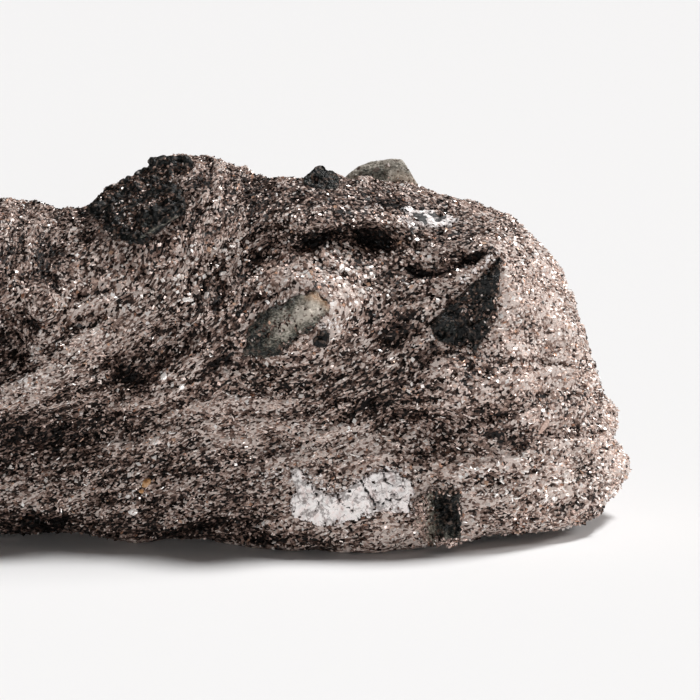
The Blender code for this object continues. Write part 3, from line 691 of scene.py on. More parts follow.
def flake_tree():
    """A modifier tree: scatters thin plates over a surface by its room and layer_facing attributes."""
    tree = bpy.data.node_groups.new("scatter flakes", "GeometryNodeTree")
    face = tree.interface
    face.new_socket("Geometry", in_out="OUTPUT", socket_type="NodeSocketGeometry")
    face.new_socket("Geometry", in_out="INPUT", socket_type="NodeSocketGeometry")
    for name in ("Density", "Smallest", "Largest", "Thickness", "Sink", "Lie on skin", "Lean", "Crumple"):
        face.new_socket(name, in_out="INPUT", socket_type="NodeSocketFloat")
    face.new_socket("Seed", in_out="INPUT", socket_type="NodeSocketInt")
    face.new_socket("Finish", in_out="INPUT", socket_type="NodeSocketMaterial")
    given = add(tree, "NodeGroupInput").outputs

    def math_node(operation, a, b):
        return add(tree, "ShaderNodeMath", {0: a, 1: b}, operation=operation).outputs[0]

    def by(vector, number):
        sockets = {0: vector, "Scale": number}
        return add(tree, "ShaderNodeVectorMath", sockets, operation="SCALE").outputs[0]

    def named(name, kind):
        made = add(tree, "GeometryNodeInputNamedAttribute", {"Name": name}, data_type=kind)
        return made.outputs["Attribute"]

    def random_number(low, high, seed):
        sockets = {2: low, 3: high, "Seed": seed}
        return add(tree, "FunctionNodeRandomValue", sockets, data_type="FLOAT").outputs[1]

    density = math_node("MULTIPLY", given["Density"], named("room", "FLOAT"))
    dealt = add(
        tree, "GeometryNodeDistributePointsOnFaces",
        {"Mesh": given["Geometry"], "Density": density, "Seed": given["Seed"]}, distribute_method="RANDOM",
    )
    normal = dealt.outputs["Normal"]
    jitter = add(
        tree, "FunctionNodeRandomValue", {0: (-1, -1, -1), 1: (1, 1, 1), "Seed": 1}, data_type="FLOAT_VECTOR",
    ).outputs[0]
    facing = add(
        tree, "ShaderNodeMix", {0: given["Lie on skin"], 4: named("layer_facing", "FLOAT_VECTOR"), 5: normal},
        data_type="VECTOR",
    ).outputs[1]
    facing = vector_maths(tree, "ADD", facing, by(jitter, given["Lean"]))[0]
    turn = add(tree, "FunctionNodeAlignRotationToVector", {"Vector": facing}, axis="Z")
    spin = add(tree, "ShaderNodeCombineXYZ", {2: random_number(0.0, 2 * math.pi, 2)})
    spun = add(tree, "FunctionNodeEulerToRotation", {0: spin.outputs[0]})
    turned = add(
        tree, "FunctionNodeRotateRotation", {0: turn.outputs[0], 1: spun.outputs[0]}, rotation_space="LOCAL",
    )
    chance = random_number(0.0, 1.0, 3)
    spread = math_node("SUBTRACT", given["Largest"], given["Smallest"])
    size = math_node("MULTIPLY", math_node("POWER", chance, 1.7), spread)
    size = math_node("ADD", size, given["Smallest"])
    longer = random_number(0.75, 1.35, 4)
    scale = add(
        tree, "ShaderNodeCombineXYZ",
        {0: math_node("MULTIPLY", size, longer), 1: math_node("DIVIDE", size, longer), 2: given["Thickness"]},
    )
    sink = by(normal, math_node("MULTIPLY", given["Sink"], -1.0))
    sunk = add(tree, "GeometryNodeSetPosition", {"Geometry": dealt.outputs["Points"], "Offset": sink})
    unit_plate = {"Vertices": FLAKE_SIDES, "Radius": 1.0, "Depth": 1.0}
    plate = add(tree, "GeometryNodeMeshCylinder", unit_plate, fill_type="NGON")
    plates = add(
        tree, "GeometryNodeInstanceOnPoints",
        {
            "Points": sunk.outputs[0], "Instance": plate.outputs["Mesh"], "Rotation": turned.outputs[0],
            "Scale": scale.outputs[0],
        },
    )
    marked = add(
        tree, "GeometryNodeStoreNamedAttribute",
        {"Geometry": plates.outputs[0], "Name": "flake", "Value": random_number(0.0, 1.0, 5)},
        data_type="FLOAT", domain="INSTANCE",
    )
    real = add(tree, "GeometryNodeRealizeInstances", {"Geometry": marked.outputs[0]})
    position = add(tree, "GeometryNodeInputPosition").outputs[0]
    wobble = add(tree, "ShaderNodeTexNoise", {"Vector": position, "Scale": 900.0, "Detail": 0.0})
    wobble = vector_maths(tree, "SUBTRACT", wobble.outputs["Color"], (0.5, 0.5, 0.5))[0]
    wobble = by(wobble, given["Crumple"])
    crumpled = add(tree, "GeometryNodeSetPosition", {"Geometry": real.outputs[0], "Offset": wobble})
    dressed = add(
        tree, "GeometryNodeSetMaterial", {"Geometry": crumpled.outputs[0], "Material": given["Finish"]},
    )
    add(tree, "NodeGroupOutput", {"Geometry": dressed.outputs[0]})
    return tree


scatter = flake_tree()


def room_area(piece):
    """Square metres of the piece, counted by how much room each face has."""
    room = np.zeros(len(piece.data.vertices), np.float32)
    piece.data.attributes["room"].data.foreach_get("value", room)
    total = 0.0
    for face in piece.data.polygons:
        total += face.area * float(np.mean([room[i] for i in face.vertices]))
    return total


def scattered(name, carrier, count, finish, seed, **sizes):
    """A new piece: about count plates on the carrier, as one plain mesh. Sizes are in mm."""
    piece = in_scene(name, carrier.data.copy())
    modifier = piece.modifiers.new("flakes", "NODES")
    modifier.node_group = scatter
    settings = {
        "Density": count / room_area(carrier), "Seed": seed, "Finish": finish,
        "Lie on skin": sizes["lie"], "Lean": sizes["lean"],
        "Smallest": sizes["smallest"] * MM, "Largest": sizes["largest"] * MM,
        "Thickness": sizes["thickness"] * MM, "Sink": sizes["sink"] * MM, "Crumple": sizes["crumple"] * MM,
    }
    for socket in scatter.interface.items_tree:
        if socket.in_out == "INPUT" and socket.name in settings:
            modifier[socket.identifier] = settings[socket.name]
    freeze(piece)
    print(name, triangle_count(piece), "triangles")
    return piece


# %% [markdown]
# Five kinds of flake grow on the block: black biotite, dark brown, bronze, rosy grey and pale glints. Each
# kind has its own finish with its own gloss, because mica's shine is the strongest thing about it. Every
# flake carries a random number, which picks its shade within its kind, and a few of them are stained by
# iron. The pale kinds grow in swarms, so they also follow a soft noise of their own.

# %% Finish and scatter the flakes
RUST = screen(226, 184, 150)
STAIN = 0.8
FLAKE_TONE_AND_SHADE = 0.9
FLAKE_CLOUDS = 1.5
FLAKE_NOISE = 2600.0


def flake_finish(name, dark, middle, light, roughness, metal, gloss):
    finish, tree, shader = finish_of(name, roughness=roughness, metal=metal, ior=1.6, gloss=gloss)
    number = attribute(tree, "flake", "Fac")
    tone_and_shade = attribute(tree, "tone_and_shade", "Fac")
    # The tone, with its painted light and shade, shifts each flake's shade.
    value = sum_of(tree, number, tone_and_shade, FLAKE_TONE_AND_SHADE)
    place = object_place(tree)
    clouds = soft_noise(tree, scaled(tree, place, 0.7, 0.7, 1.6), FLAKE_NOISE)
    value = sum_of(tree, value, clouds, FLAKE_CLOUDS)
    value = sum_of(tree, value, -FLAKE_CLOUDS / 2)
    colour = ramp(tree, value, [(0.0, dark), (0.5, middle), (1.0, light)])
    stained = ramp(tree, number, [(0.0, BLACK), (0.5, (STAIN, STAIN, STAIN, 1)), (0.53, BLACK)], "CONSTANT")
    stain = mixed_colour(tree, stained, colour, RUST, blend_type="MULTIPLY")
    tree.links.new(stain, shader.inputs["Base Color"])
    make_bumpy(tree, shader, soft_noise(tree, place, FLAKE_NOISE), 0.5, 0.00012)
    return finish


# Kinds of flake: name, how many, whether it favours pale tone and painted light (or dark tone and painted
# shade, if negative), its finish as colours from dark to light, roughness, metal and gloss, and sizes in mm.
# Smallest and largest are half the width.
FLAKE_KINDS = [
    ("black_mica", 16000, -1.3, ((7, 6, 5), (18, 13, 11), (44, 33, 28)), 0.28, 0.0, 0.06,
     dict(smallest=0.24, largest=0.66, thickness=0.18, sink=0.0, lie=0.35, lean=0.50, crumple=0.30)),
    ("brown_mica", 13500, -0.5, ((16, 12, 11), (56, 42, 36), (118, 94, 83)), 0.32, 0.2, 0.2,
     dict(smallest=0.22, largest=0.56, thickness=0.15, sink=0.0, lie=0.30, lean=0.50, crumple=0.30)),
    ("bronze_mica", 14000, 0.3, ((52, 37, 31), (142, 113, 100), (210, 182, 168)), 0.32, 0.25, 0.4,
     dict(smallest=0.20, largest=0.52, thickness=0.15, sink=-0.04, lie=0.30, lean=0.55, crumple=0.28)),
    ("rosy_mica", 15500, 0.8, ((94, 72, 65), (204, 177, 165), (250, 230, 220)), 0.34, 0.2, 0.5,
     dict(smallest=0.18, largest=0.48, thickness=0.17, sink=-0.06, lie=0.30, lean=0.60, crumple=0.26)),
    ("pale_mica", 9000, 1.1, ((150, 128, 118), (238, 222, 213), (255, 250, 246)), 0.28, 0.25, 0.6,
     dict(smallest=0.15, largest=0.60, thickness=0.2, sink=-0.1, lie=0.30, lean=0.65, crumple=0.22)),
]
MOST_FAVOURED = 2.4
LEAST_FAVOURED = 0.08

flakes = []
finishes = {}
for number, (name, count, favours, look, roughness, metal, gloss, sizes) in enumerate(FLAKE_KINDS):
    shades = [screen(*shade) for shade in look]
    finish = finishes[name] = flake_finish(name.replace("_", " "), *shades, roughness, metal, gloss)
    # Dark kinds crowd into painted shade and pale kinds into painted light, as the tone does.
    liked = np.clip(1 + 1.4 * favours * tone_and_shade, LEAST_FAVOURED, MOST_FAVOURED)
    if favours > 0:
        liked = liked * (0.45 + 1.1 * smooth_step(noise_at(p, 5.0, 60.0 + number), -0.15, 0.4))
    note(skin, "room", "FLOAT", room * liked)
    flakes.append(scattered(name, skin, count, finish, 20 + number, **sizes))
note(skin, "room", "FLOAT", room)
print("flakes in all:", sum(triangle_count(piece) for piece in flakes), "triangles")

# %% [markdown]
# Alexandrite in the rough looks black or dark green, with dull striated faces, chipped edges and mica stuck
# in its pits. Each crystal is a copy of its solid with an even mesh. Fine grooves run along it, and noise
# that only cuts inward chips it. Most faces stay nearly flat, but four crystals get a ragged outline. Two
# attributes tell the finish where a crystal is paler, with a painted highlight along an edge of the ridge
# crystals, and where iron has stained it rusty, because the worn ones are zoned.

# %% Cut the crystals
CRYSTAL_VOXEL = 0.42 * MM
GROOVE = 0.9
GROOVE_DEPTH = 0.13
CHIP_WAVE = 2.3
CHIP_DEPTH = 0.75
PIT_DEPTH = 0.18

# The way in which the grooves of each crystal are counted, across its long direction.
GROOVES_ACROSS = {
    "alexandrite_ridge": (-0.55, 0.2, 0.8), "alexandrite_wedge": (0.75, 0.1, -0.65),
    "alexandrite_foot": (1.0, 0.2, 0.1), "alexandrite_rear": (0.2, 0.3, 0.9),
    "alexandrite_back_tablet": (0.9, 0, 0.4), "alexandrite_back_prism": (-0.4, 0.3, 0.8),
    "alexandrite_end_prism": (0.7, -0.6, -0.3), "alexandrite_worn": (-0.55, 0.1, 0.8),
}
# How pale each crystal is, from 0 for black. The rest are nearly black.
PALE_CRYSTALS = {
    "alexandrite_rear": 0.82, "alexandrite_worn": 0.30, "alexandrite_knob": 0.14, "alexandrite_foot": 0.30,
    "alexandrite_chip": -0.4,
}
NEARLY_BLACK = 0.03
# How ragged a crystal's outline is, in mm. The rest are nearly even.
RAGGED = {
    "alexandrite_foot": 2.1, "alexandrite_worn": 1.0, "alexandrite_ridge": 0.7, "alexandrite_wedge": 0.5,
}
NEARLY_EVEN = 0.2
# Marks on the crystals: name, corners in the picture, reach in mm, how much paler, how rusty.
CRYSTAL_MARKS = [
    ("granular middle of the worn crystal", ((280, 328), (306, 314)), 4.2, 0.60, 0.0),
    ("pale tip of the worn crystal", ((308, 306), (320, 305)), 3.8, 0.50, 0.12),
    ("rusty arc of the worn crystal", ((309, 297), (321, 298), (328, 306)), 1.3, 0.1, 1.0),
    ("dark patch of the rear crystal", ((362, 175), (382, 173)), 2.0, -0.34, 0.0),
    ("rusty corner of the rear crystal", ((400, 181), (412, 185)), 2.8, 0.12, 0.5),
    ("flat face of the wedge", ((438, 332), (446, 330)), 3.2, 0.09, 0.0),
    ("black core of the foot crystal", ((446, 500), (450, 522)), 3.0, -0.3, 0.0),
    ("dull side of the foot crystal", ((420, 496), (424, 540)), 3.4, 0.58, 0.1),
    # Painted highlight along the edge of the ridge crystals.
    ("pale edge of the ridge crystals", ((142, 237), (160, 226), (178, 216)), 0.5, 0.5, 0.0),
    ("dull step of the ridge crystals", ((138, 229), (150, 216)), 1.6, 0.12, 0.0),
]


def cut_crystal(node):
    """The dressed copy of a crystal, which stands for its node."""
    piece = merged_copy(node, node.replace("alexandrite", "crystal"))
    even_mesh(piece, CRYSTAL_VOXEL)
    p = places(piece)
    across = np.array(GROOVES_ACROSS.get(node, (1, 0, 0.3)))
    along = p @ (across / np.linalg.norm(across))
    grooves = saw(along / GROOVE + 0.35 * noise_at(p, 6, 4.0)) * smooth_step(noise_at(p, 5, 9.0), -0.4, 0.4)
    chips = -smooth_step(noise_at(p, CHIP_WAVE, 6.0), 0.28, 0.5)
    pits = noise_at(p, 0.9, 2.0)
    ragged = RAGGED.get(node, NEARLY_EVEN) * (noise_at(p, 2.4, 77.0) + 0.5 * noise_at(p, 1.1, 78.0) - 0.15)
    out = GROOVE_DEPTH * grooves + CHIP_DEPTH * chips + PIT_DEPTH * pits + ragged
    put_places(piece, p + outward(piece) * out[:, None])
    pixels = seen_at(p)
    in_view = faces_camera(outward(piece))
    pale_and_highlight = PALE_CRYSTALS.get(node, NEARLY_BLACK)
    pale_and_highlight = pale_and_highlight + 0.12 * noise_at(p, 2.2, 14.0) + 0.12 * noise_at(p, 0.9, 15.0)
    rusty = np.zeros(len(p))
    for _, mark, reach, paler, rust in CRYSTAL_MARKS:
        here = in_view * near_mark(pixels, mark, reach)
        pale_and_highlight = pale_and_highlight + paler * here
        rusty = rusty + rust * here
    note(piece, "pale_and_highlight", "FLOAT", pale_and_highlight)
    note(piece, "rusty", "FLOAT", rusty)
    return piece


def alexandrite_finish():
    finish, tree, shader = finish_of("alexandrite", ior=1.74, gloss=0.12)
    place = object_place(tree)
    clouds = soft_noise(tree, place, 520.0, detail=5)
    grains = soft_noise(tree, scaled(tree, place, 1.0, 1.0, 1.6), 1900.0, detail=4)
    value = sum_of(tree, attribute(tree, "pale_and_highlight", "Fac"), clouds, 0.5)
    value = sum_of(tree, value, grains, 1.3)
    value = sum_of(tree, value, -0.93)
    colour = ramp(tree, value, [
        (0.0, screen(3, 4, 4)), (0.12, screen(13, 15, 15)), (0.28, screen(40, 43, 40)),
        (0.46, screen(92, 90, 82)), (0.66, screen(140, 135, 124)), (0.9, screen(188, 180, 168)),
    ])
    dust = soft_noise(tree, place, 1300.0, detail=5)
    dusty = ramp(tree, dust, [(0.54, BLACK), (0.66, WHITE)])
    mixed = mixed_colour(tree, dusty, colour, screen(92, 78, 70))
    stain = add(tree, "ShaderNodeMath", {0: attribute(tree, "rusty", "Fac"), 1: 0.45}, operation="MULTIPLY")
    mixed = mixed_colour(tree, stain.outputs[0], mixed, screen(176, 132, 92))
    tree.links.new(mixed, shader.inputs["Base Color"])
    shine = add(tree, "ShaderNodeMapRange", {"Value": dust, "To Min": 0.16, "To Max": 0.6})
    tree.links.new(shine.outputs[0], shader.inputs["Roughness"])
    make_bumpy(tree, shader, soft_noise(tree, place, 1700.0, detail=5), 0.9, 0.0004)
    return finish


dark_crystal = alexandrite_finish()
crystals = {}
for node in CRYSTALS:
    crystals[node] = cut_crystal(node)
    wear(crystals[node], dark_crystal)
print("crystals:", sum(triangle_count(c) for c in crystals.values()), "triangles")

# %% [markdown]
# The two feldspar patches are white, granular and cracked. Their copies get a finer mesh than the crystals,
# with small rounded grains. The few strong cracks are lines in the camera's picture, like the creases of the
# block, and the hairlines between the grains are left to the finish.

# %% Dress the feldspar patches
PATCH_VOXEL = 0.34 * MM
CRACK_DEPTH = 0.3
# Dark cracks and spots of the patches: name, corners in the picture, reach in mm.
CRACKS = [
    ("long crack", ((359, 474), (366, 490), (374, 505), (386, 500), (398, 496)), 0.36),
    ("crack of the left arm", ((309, 483), (318, 497), (316, 512)), 0.24),
    ("crack of the middle", ((335, 492), (341, 504), (352, 510)), 0.24),
    ("crack of the right end", ((383, 472), (388, 484), (402, 486)), 0.24),
    ("black heart of the fleck", ((415, 215), (423, 217)), 1.3),
    ("black edge of the fleck", ((432, 213), (444, 217)), 0.9),
]


def cut_patch(node):
    piece = merged_copy(node, node + "_grains")
    even_mesh(piece, PATCH_VOXEL)
    p = places(piece)
    pixels = seen_at(p)
    cracked = np.zeros(len(p))
    for _, mark, reach in CRACKS:
        wandering = pixels + 7 * noise_at(p, 1.1, 31.0)[:, None]
        cracked = np.maximum(cracked, near_mark(wandering, mark, 1.4 * reach))
    out = 0.34 * noise_at(p, 1.7, 5.0) + 0.16 * noise_at(p, 0.8, 3.0) - CRACK_DEPTH * cracked
    put_places(piece, p + outward(piece) * out[:, None])
    note(piece, "cracked", "FLOAT", cracked)
    return piece


def feldspar_finish():
    finish, tree, shader = finish_of("feldspar", roughness=0.5)
    place = object_place(tree)
    bend = add(tree, "ShaderNodeTexNoise", {"Vector": place, "Scale": 700.0})
    bent = add(tree, "ShaderNodeVectorMath", {0: bend.outputs["Color"], "Scale": 0.003}, operation="SCALE")
    bent = vector_maths(tree, "ADD", place, bent.outputs[0])[0]
    sockets = {"Vector": bent, "Scale": 620.0}
    hairlines = add(tree, "ShaderNodeTexVoronoi", sockets, feature="DISTANCE_TO_EDGE")
    here = soft_noise(tree, place, 480.0)
    line = add(tree, "ShaderNodeMath", {0: here, 1: 1.4, 2: -0.6}, operation="MULTIPLY_ADD")
    line = add(tree, "ShaderNodeMath", {0: line.outputs[0], 1: 0.004}, operation="MAXIMUM")
    line = add(
        tree, "ShaderNodeMapRange",
        {
            "Value": hairlines.outputs["Distance"], "From Min": 0.0, "From Max": line.outputs[0],
            "To Min": 0.75, "To Max": 0.0,
        },
    )
    clouds = soft_noise(tree, place, 900.0, detail=6)
    colour = ramp(tree, clouds, [
        (0.28, screen(186, 166, 160)), (0.36, screen(246, 230, 226)), (0.44, screen(255, 246, 243)),
        (0.70, screen(255, 252, 250)),
    ])
    mixed = mixed_colour(tree, line.outputs[0], colour, screen(92, 76, 72))
    cracked = ramp(tree, attribute(tree, "cracked", "Fac"), [(0.45, BLACK), (0.7, WHITE)])
    mixed = mixed_colour(tree, cracked, mixed, screen(24, 20, 19))
    tree.links.new(mixed, shader.inputs["Base Color"])
    make_bumpy(tree, shader, clouds, 0.9, 0.0006)
    return finish


white_stone = feldspar_finish()
patches = {}
for node in PATCHES:
    patches[node] = cut_patch(node)
    wear(patches[node], white_stone)
print("patches:", sum(triangle_count(c) for c in patches.values()), "triangles")

# %% [markdown]
# A crystal in schist never has a clean rim: mica creeps over it and sticks in its pits. So some flakes are
# also scattered over the crystals and patches, many of them near the rim, and rosy mica grows over the
# edges of the crystal at the foot. Beyond the rim of the feldspar, white crumbs of it lie among the mica.
# Last come the glints: larger bright flakes in the places where the stone glitters most. One scattering
# tree does it all.

# %% Dust the crystals and crumble the feldspar
skin_tree = tree_of([skin.data])
# Places with many crumbs on the crystals: name, corners in the picture, reach in mm.
CRUMBS = [
    ("crumbs on the ridge crystals", ((123, 214), (134, 229)), 1.8),
    ("crumbs along the ridge crystals", ((100, 196), (150, 172), (186, 168)), 1.6),
    ("upper streak of the ridge crystals", ((112, 212), (150, 186), (186, 176)), 1.3),
    ("lower streak of the ridge crystals", ((112, 232), (140, 206), (172, 196)), 1.2),
    ("band across the wedge", ((461, 296), (474, 308), (492, 322)), 3.2),
    ("crumb below the wedge", ((464, 343), (467, 341)), 1.2),
    ("rim right of the wedge", ((499, 284), (497, 320)), 1.2),
    ("streaks of the foot crystal", ((424, 494), (420, 528), (430, 544)), 3.6),
    ("crumbs over the foot crystal", ((434, 492), (456, 492)), 1.3),
    ("tip of the worn crystal", ((322, 293), (332, 302), (328, 316)), 1.0),
    ("lower edge of the worn crystal", ((284, 345), (304, 334), (322, 322)), 1.3),
    ("specks of the worn crystal", ((262, 330), (290, 322)), 2.0),
]
# Where the schist grows over the foot crystal: name, corners in the picture, reach in mm.
OVERGROWN = [
    ("left side of the foot crystal", ((416, 492), (418, 542)), 2.8),
    ("right edge of the foot crystal", ((464, 488), (466, 544)), 1.3),
    ("lower end of the foot crystal", ((442, 545), (464, 543)), 1.8),
    ("top of the foot crystal", ((426, 489), (464, 488)), 0.8),
]
# Places with white crumbs in the schist: name, corners in the picture, reach in mm.
WHITE_CRUMBS = [
    ("round the fleck", ((403, 220), (412, 224), (430, 220), (446, 219)), 1.3),
    ("upper border of the patch",
     ((288, 470), (306, 476), (326, 492), (352, 486), (376, 470), (404, 471)), 1.3),
    ("lower border of the patch", ((290, 508), (318, 520), (350, 518), (388, 506), (408, 508)), 1.5),
    ("by the chip", ((322, 322), (340, 326)), 1.5),
    ("over the wedge", ((498, 253), (473, 271), (457, 285)), 0.5),
]
# Places with many large glints on the schist: name, corners in the picture, reach in mm.
GLINTS = [
    ("slope right of the valley", ((166, 302), (232, 260)), 6),
    ("under the brow", ((334, 250), (368, 290)), 4),
    ("low left", ((128, 496), (158, 442)), 4),
    ("long pale rib", ((8, 400), (70, 356)), 3),
    ("lower right", ((480, 480), (590, 480)), 7),
]


def joined(pieces, name):
    """One object with copies of several pieces' meshes."""
    bm = bmesh.new()
    for piece in pieces:
        bm.from_mesh(piece.data)
    return in_scene(name, mesh_from(bm, name))


def dusting_room(carrier, clusters, rim_share, spread_share):
    """Room for dust: near the schist, in loose clusters, and at the places of a list."""
    p = places(carrier)
    above, _ = distance_to(skin_tree, p)
    bare = smooth_step(above, 0.05, 0.3)
    rim = 1 - smooth_step(above, 0.3, 1.3)
    loose = smooth_step(noise_at(p, 1.8, 40.0), 0.05, 0.5)
    marks = marked(p, outward(carrier), clusters)
    return bare * np.clip(rim_share * rim + spread_share * loose + 2.0 * marks, 0, 2.5)


def dusting_carrier(pieces, tone_and_shade):
    """A joined copy of several pieces for flakes to be scattered on, with one tone all over."""
    made = joined(pieces, "dusting carrier")
    p = places(made)
    note(made, "layer_facing", "FLOAT_VECTOR", layer_facing(p))
    note(made, "tone_and_shade", "FLOAT", np.full(len(p), tone_and_shade))
    return made


carrier = dusting_carrier(crystals.values(), -0.1)
crumbs_over_foot = dusting_room(carrier, OVERGROWN, 0.0, 0.0)
note(carrier, "room", "FLOAT", dusting_room(carrier, CRUMBS, 1.0, 0.25))
DUST = dict(smallest=0.16, largest=0.44, thickness=0.14, lie=0.75, lean=0.35, sink=0.0, crumple=0.25)
dust = [
    scattered("brown_dust", carrier, 2600, finishes["brown_mica"], 41, **DUST),
    scattered("bronze_dust", carrier, 1300, finishes["bronze_mica"], 42, **DUST),
    scattered("pale_dust", carrier, 500, finishes["pale_mica"], 43, **DUST),
]
note(carrier, "room", "FLOAT", crumbs_over_foot)
dust.append(scattered("mica_over_foot", carrier, 800, finishes["rosy_mica"], 47, **DUST))
bpy.data.objects.remove(carrier)
carrier = dusting_carrier(patches.values(), 0.0)
note(carrier, "room", "FLOAT", dusting_room(carrier, [], 0.9, 0.12))
dust.append(scattered("mica_on_feldspar", carrier, 260, finishes["brown_mica"], 44, **DUST))
bpy.data.objects.remove(carrier)
p = places(skin)
note(skin, "room", "FLOAT", np.clip(marked(p, outward(skin), WHITE_CRUMBS), 0, 1))
white_crumbs = scattered(
    "white_crumbs", skin, 620, white_stone, 45,
    smallest=0.16, largest=0.5, thickness=0.4, lie=0.6, lean=0.5, sink=-0.05, crumple=0.3,
)
note(skin, "room", "FLOAT", room * np.clip(marked(p, outward(skin), GLINTS), 0, 1))
glints = scattered(
    "glints", skin, 420, finishes["pale_mica"], 46,
    smallest=0.24, largest=0.68, thickness=0.3, lie=0.3, lean=0.6, sink=-0.12, crumple=0.3,
)
note(skin, "room", "FLOAT", room)

# %% [markdown]
# A few grains are larger than the rest: white mica plates, most on the left or under the brow, a rosy grain
# on the right, and one stained orange by iron. Each is placed by the pixel that shows it. A ray from the
# camera finds the skin there, and the grain is set into that spot, so it sits on the stone seen from any
# side.

# %% Set the large grains
# Grains: name, pixel, length, width and thickness in mm, tilt in the picture in degrees, and colour.
GRAINS = [
    ("orange grain", (147, 483), 2.4, 1.5, 0.9, 62, "orange"),
    ("orange grain, lower end", (142, 491), 1.3, 0.9, 0.7, 30, "orange"),
    ("rosy grain", (543, 426), 3.8, 2.1, 0.9, 42, "rosy"),
    ("white plate on the slope", (188, 300), 2.4, 1.0, 0.6, 4, "white"),
    ("white plate in the valley", (164, 377), 1.8, 1.4, 0.6, 70, "white"),
    ("white plate, lower", (182, 387), 1.5, 1.1, 0.6, 35, "white"),
    ("white plate, low left", (156, 441), 2.2, 1.6, 0.6, 50, "white"),
    ("white plate near the orange grain", (128, 496), 1.3, 0.9, 0.6, 30, "white"),
    ("grey plate at the foot", (133, 512), 1.9, 1.4, 0.5, 10, "white"),
    ("glint, first", (338, 252), 1.6, 0.7, 0.5, -60, "white"),
    ("glint, second", (347, 246), 1.2, 0.7, 0.5, -70, "white"),
    ("glint, third", (327, 246), 1.0, 0.7, 0.5, 60, "white"),
    ("glint, fourth", (260, 249), 1.0, 0.8, 0.5, 20, "white"),
    ("glint, fifth", (228, 258), 1.5, 1.1, 0.6, 20, "white"),
    ("glint, sixth", (368, 268), 1.6, 0.9, 0.5, 50, "white"),
    ("glint, seventh", (380, 351), 1.3, 0.5, 0.4, -45, "white"),
]
SUNK_SHARE = 0.25
# The number that picks a large grain's shade, as each flake's own number does.
BRIGHT_FLAKE = 0.9
TAN_GRAIN = screen(186, 134, 84)


def tan_finish():
    finish, tree, shader = finish_of("iron-stained grain", roughness=0.45)
    clouds = soft_noise(tree, object_place(tree), 900.0, detail=4)
    colour = ramp(tree, clouds, [(0.32, screen(96, 66, 42)), (0.5, TAN_GRAIN), (0.68, screen(226, 190, 150))])
    tree.links.new(colour, shader.inputs["Base Color"])
    return finish


def grain_piece(name, kind, finish):
    """One mesh with every grain of a kind, each set into the skin where its pixel's ray meets it."""
    bm = bmesh.new()
    eye = camera.location / MM
    for number, (_, pixel, length, width, thick, tilt, colour) in enumerate(GRAINS):
        if colour != kind:
            continue
        hit, normal, _, _ = skin_tree.ray_cast(eye, photo_ray(*pixel))
        if hit is None:
            continue
        across = Vector((math.cos(math.radians(tilt)), 0, math.sin(math.radians(tilt))))
        across = (across - across.dot(normal) * normal).normalized()
        turn = Matrix((across, normal.cross(across), normal)).transposed().to_4x4()
        shape = Matrix.Diagonal((length / 2, width / 2, thick / 2, 1))
        made = bmesh.ops.create_icosphere(bm, subdivisions=2, radius=1.0)["verts"]
        for vertex in made:
            vertex.co = vertex.co * (1 + 0.3 * noise.noise(vertex.co * 1.3 + Vector((number, 0, 0))))
            vertex.co.z = max(-0.8, min(0.8, vertex.co.z))
        at = Matrix.Translation(hit + normal * thick * (0.5 - SUNK_SHARE))
        bmesh.ops.transform(bm, matrix=Matrix.Scale(MM, 4) @ at @ turn @ shape, verts=made)
    mesh = mesh_from(bm, name)
    mesh.materials.append(finish)
    piece = in_scene(name, mesh)
    note(piece, "flake", "FLOAT", np.full(len(mesh.vertices), BRIGHT_FLAKE))
    note(piece, "tone_and_shade", "FLOAT", np.zeros(len(mesh.vertices)))
    return piece


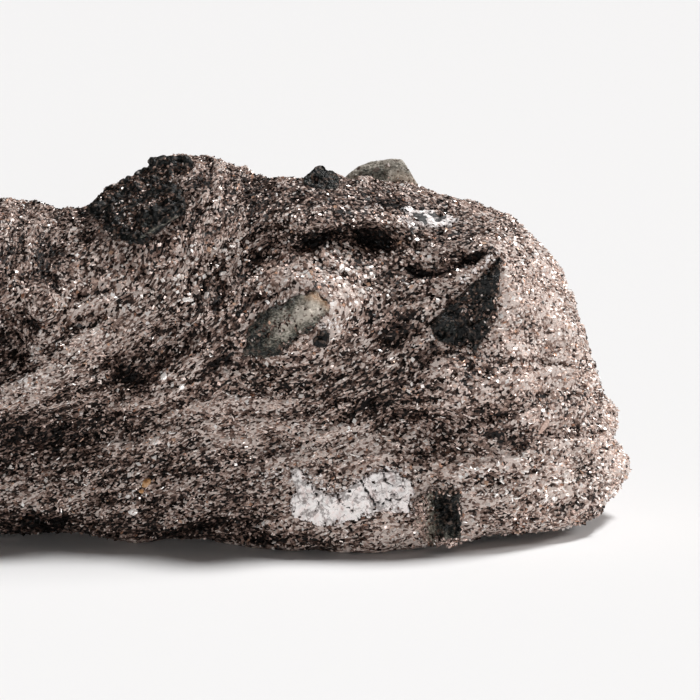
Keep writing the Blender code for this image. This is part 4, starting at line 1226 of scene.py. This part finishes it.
grains = [
    grain_piece("tan_grains", "orange", tan_finish()),
    grain_piece("rosy_grain", "rosy", finishes["bronze_mica"]),
    grain_piece("white_plates", "white", finishes["pale_mica"]),
]
print("large grains:", len(GRAINS), "in", sum(triangle_count(piece) for piece in grains), "triangles")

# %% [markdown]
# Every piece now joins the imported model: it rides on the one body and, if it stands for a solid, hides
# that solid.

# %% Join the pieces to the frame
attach(skin, BODY)
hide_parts("mica_schist")
for piece in flakes + dust + grains + [glints]:
    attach(piece, BODY)
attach(white_crumbs, BODY)
for node, piece in crystals.items():
    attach(piece, BODY)
    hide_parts(node)
for node, piece in patches.items():
    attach(piece, BODY)
    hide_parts(node)

# %% [markdown]
# A product photograph of a dark stone wants a white room: a pale floor that runs to the horizon, a faint
# sky and a few lamps. The lamps are even lights from far away, so the floor is as bright far off as near
# by. The main one stands above and a little behind, which throws the narrow shadow forward. The second
# comes from the right, whose face is the bright one. The third grazes the floor from the front and lights
# mostly the stone.

# %% Lay the floor and light the room
FLOOR_HALF = 4.0
FLOOR_GAP = 0.0002


def floor_finish():
    finish, _, shader = finish_of("pale floor", roughness=0.9, gloss=0.1)
    shader.inputs["Base Color"].default_value = (0.84, 0.835, 0.835, 1)
    return finish


bm = bmesh.new()
bmesh.ops.create_grid(bm, x_segments=1, y_segments=1, size=FLOOR_HALF)
floor = in_scene("floor", mesh_from(bm, "floor"))
floor.location.z = -FLOOR_GAP
floor.data.materials.append(floor_finish())


def lamp(name, toward_light, strength, spread, tint=(1, 1, 1)):
    """An even lamp far away: the way to it, its strength, and how wide it looks, in degrees."""
    data = bpy.data.lights.new(name, "SUN")
    data.energy = strength
    data.angle = math.radians(spread)
    data.color = tint
    made = in_scene(name, data)
    made.rotation_euler = Vector(toward_light).to_track_quat("Z", "Y").to_euler()
    return made


lamp("top, a little behind", (0.42, 0.25, 1.0), 2.88, 16)
lamp("right, a little behind", (0.88, 0.22, 0.50), 1.52, 16, (1.0, 0.985, 0.975))
lamp("low front", (0.10, -1.0, 0.05), 1.32, 12)

world = bpy.data.worlds.new("white room")
world.use_nodes = True
bpy.context.scene.world = world
sky = world.node_tree.nodes["Background"]
sky.inputs["Color"].default_value = (1, 0.995, 0.995, 1)
sky.inputs["Strength"].default_value = 0.04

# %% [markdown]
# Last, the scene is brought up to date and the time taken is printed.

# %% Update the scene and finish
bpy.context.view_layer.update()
print("made in", round(time.time() - started, 1), "s")
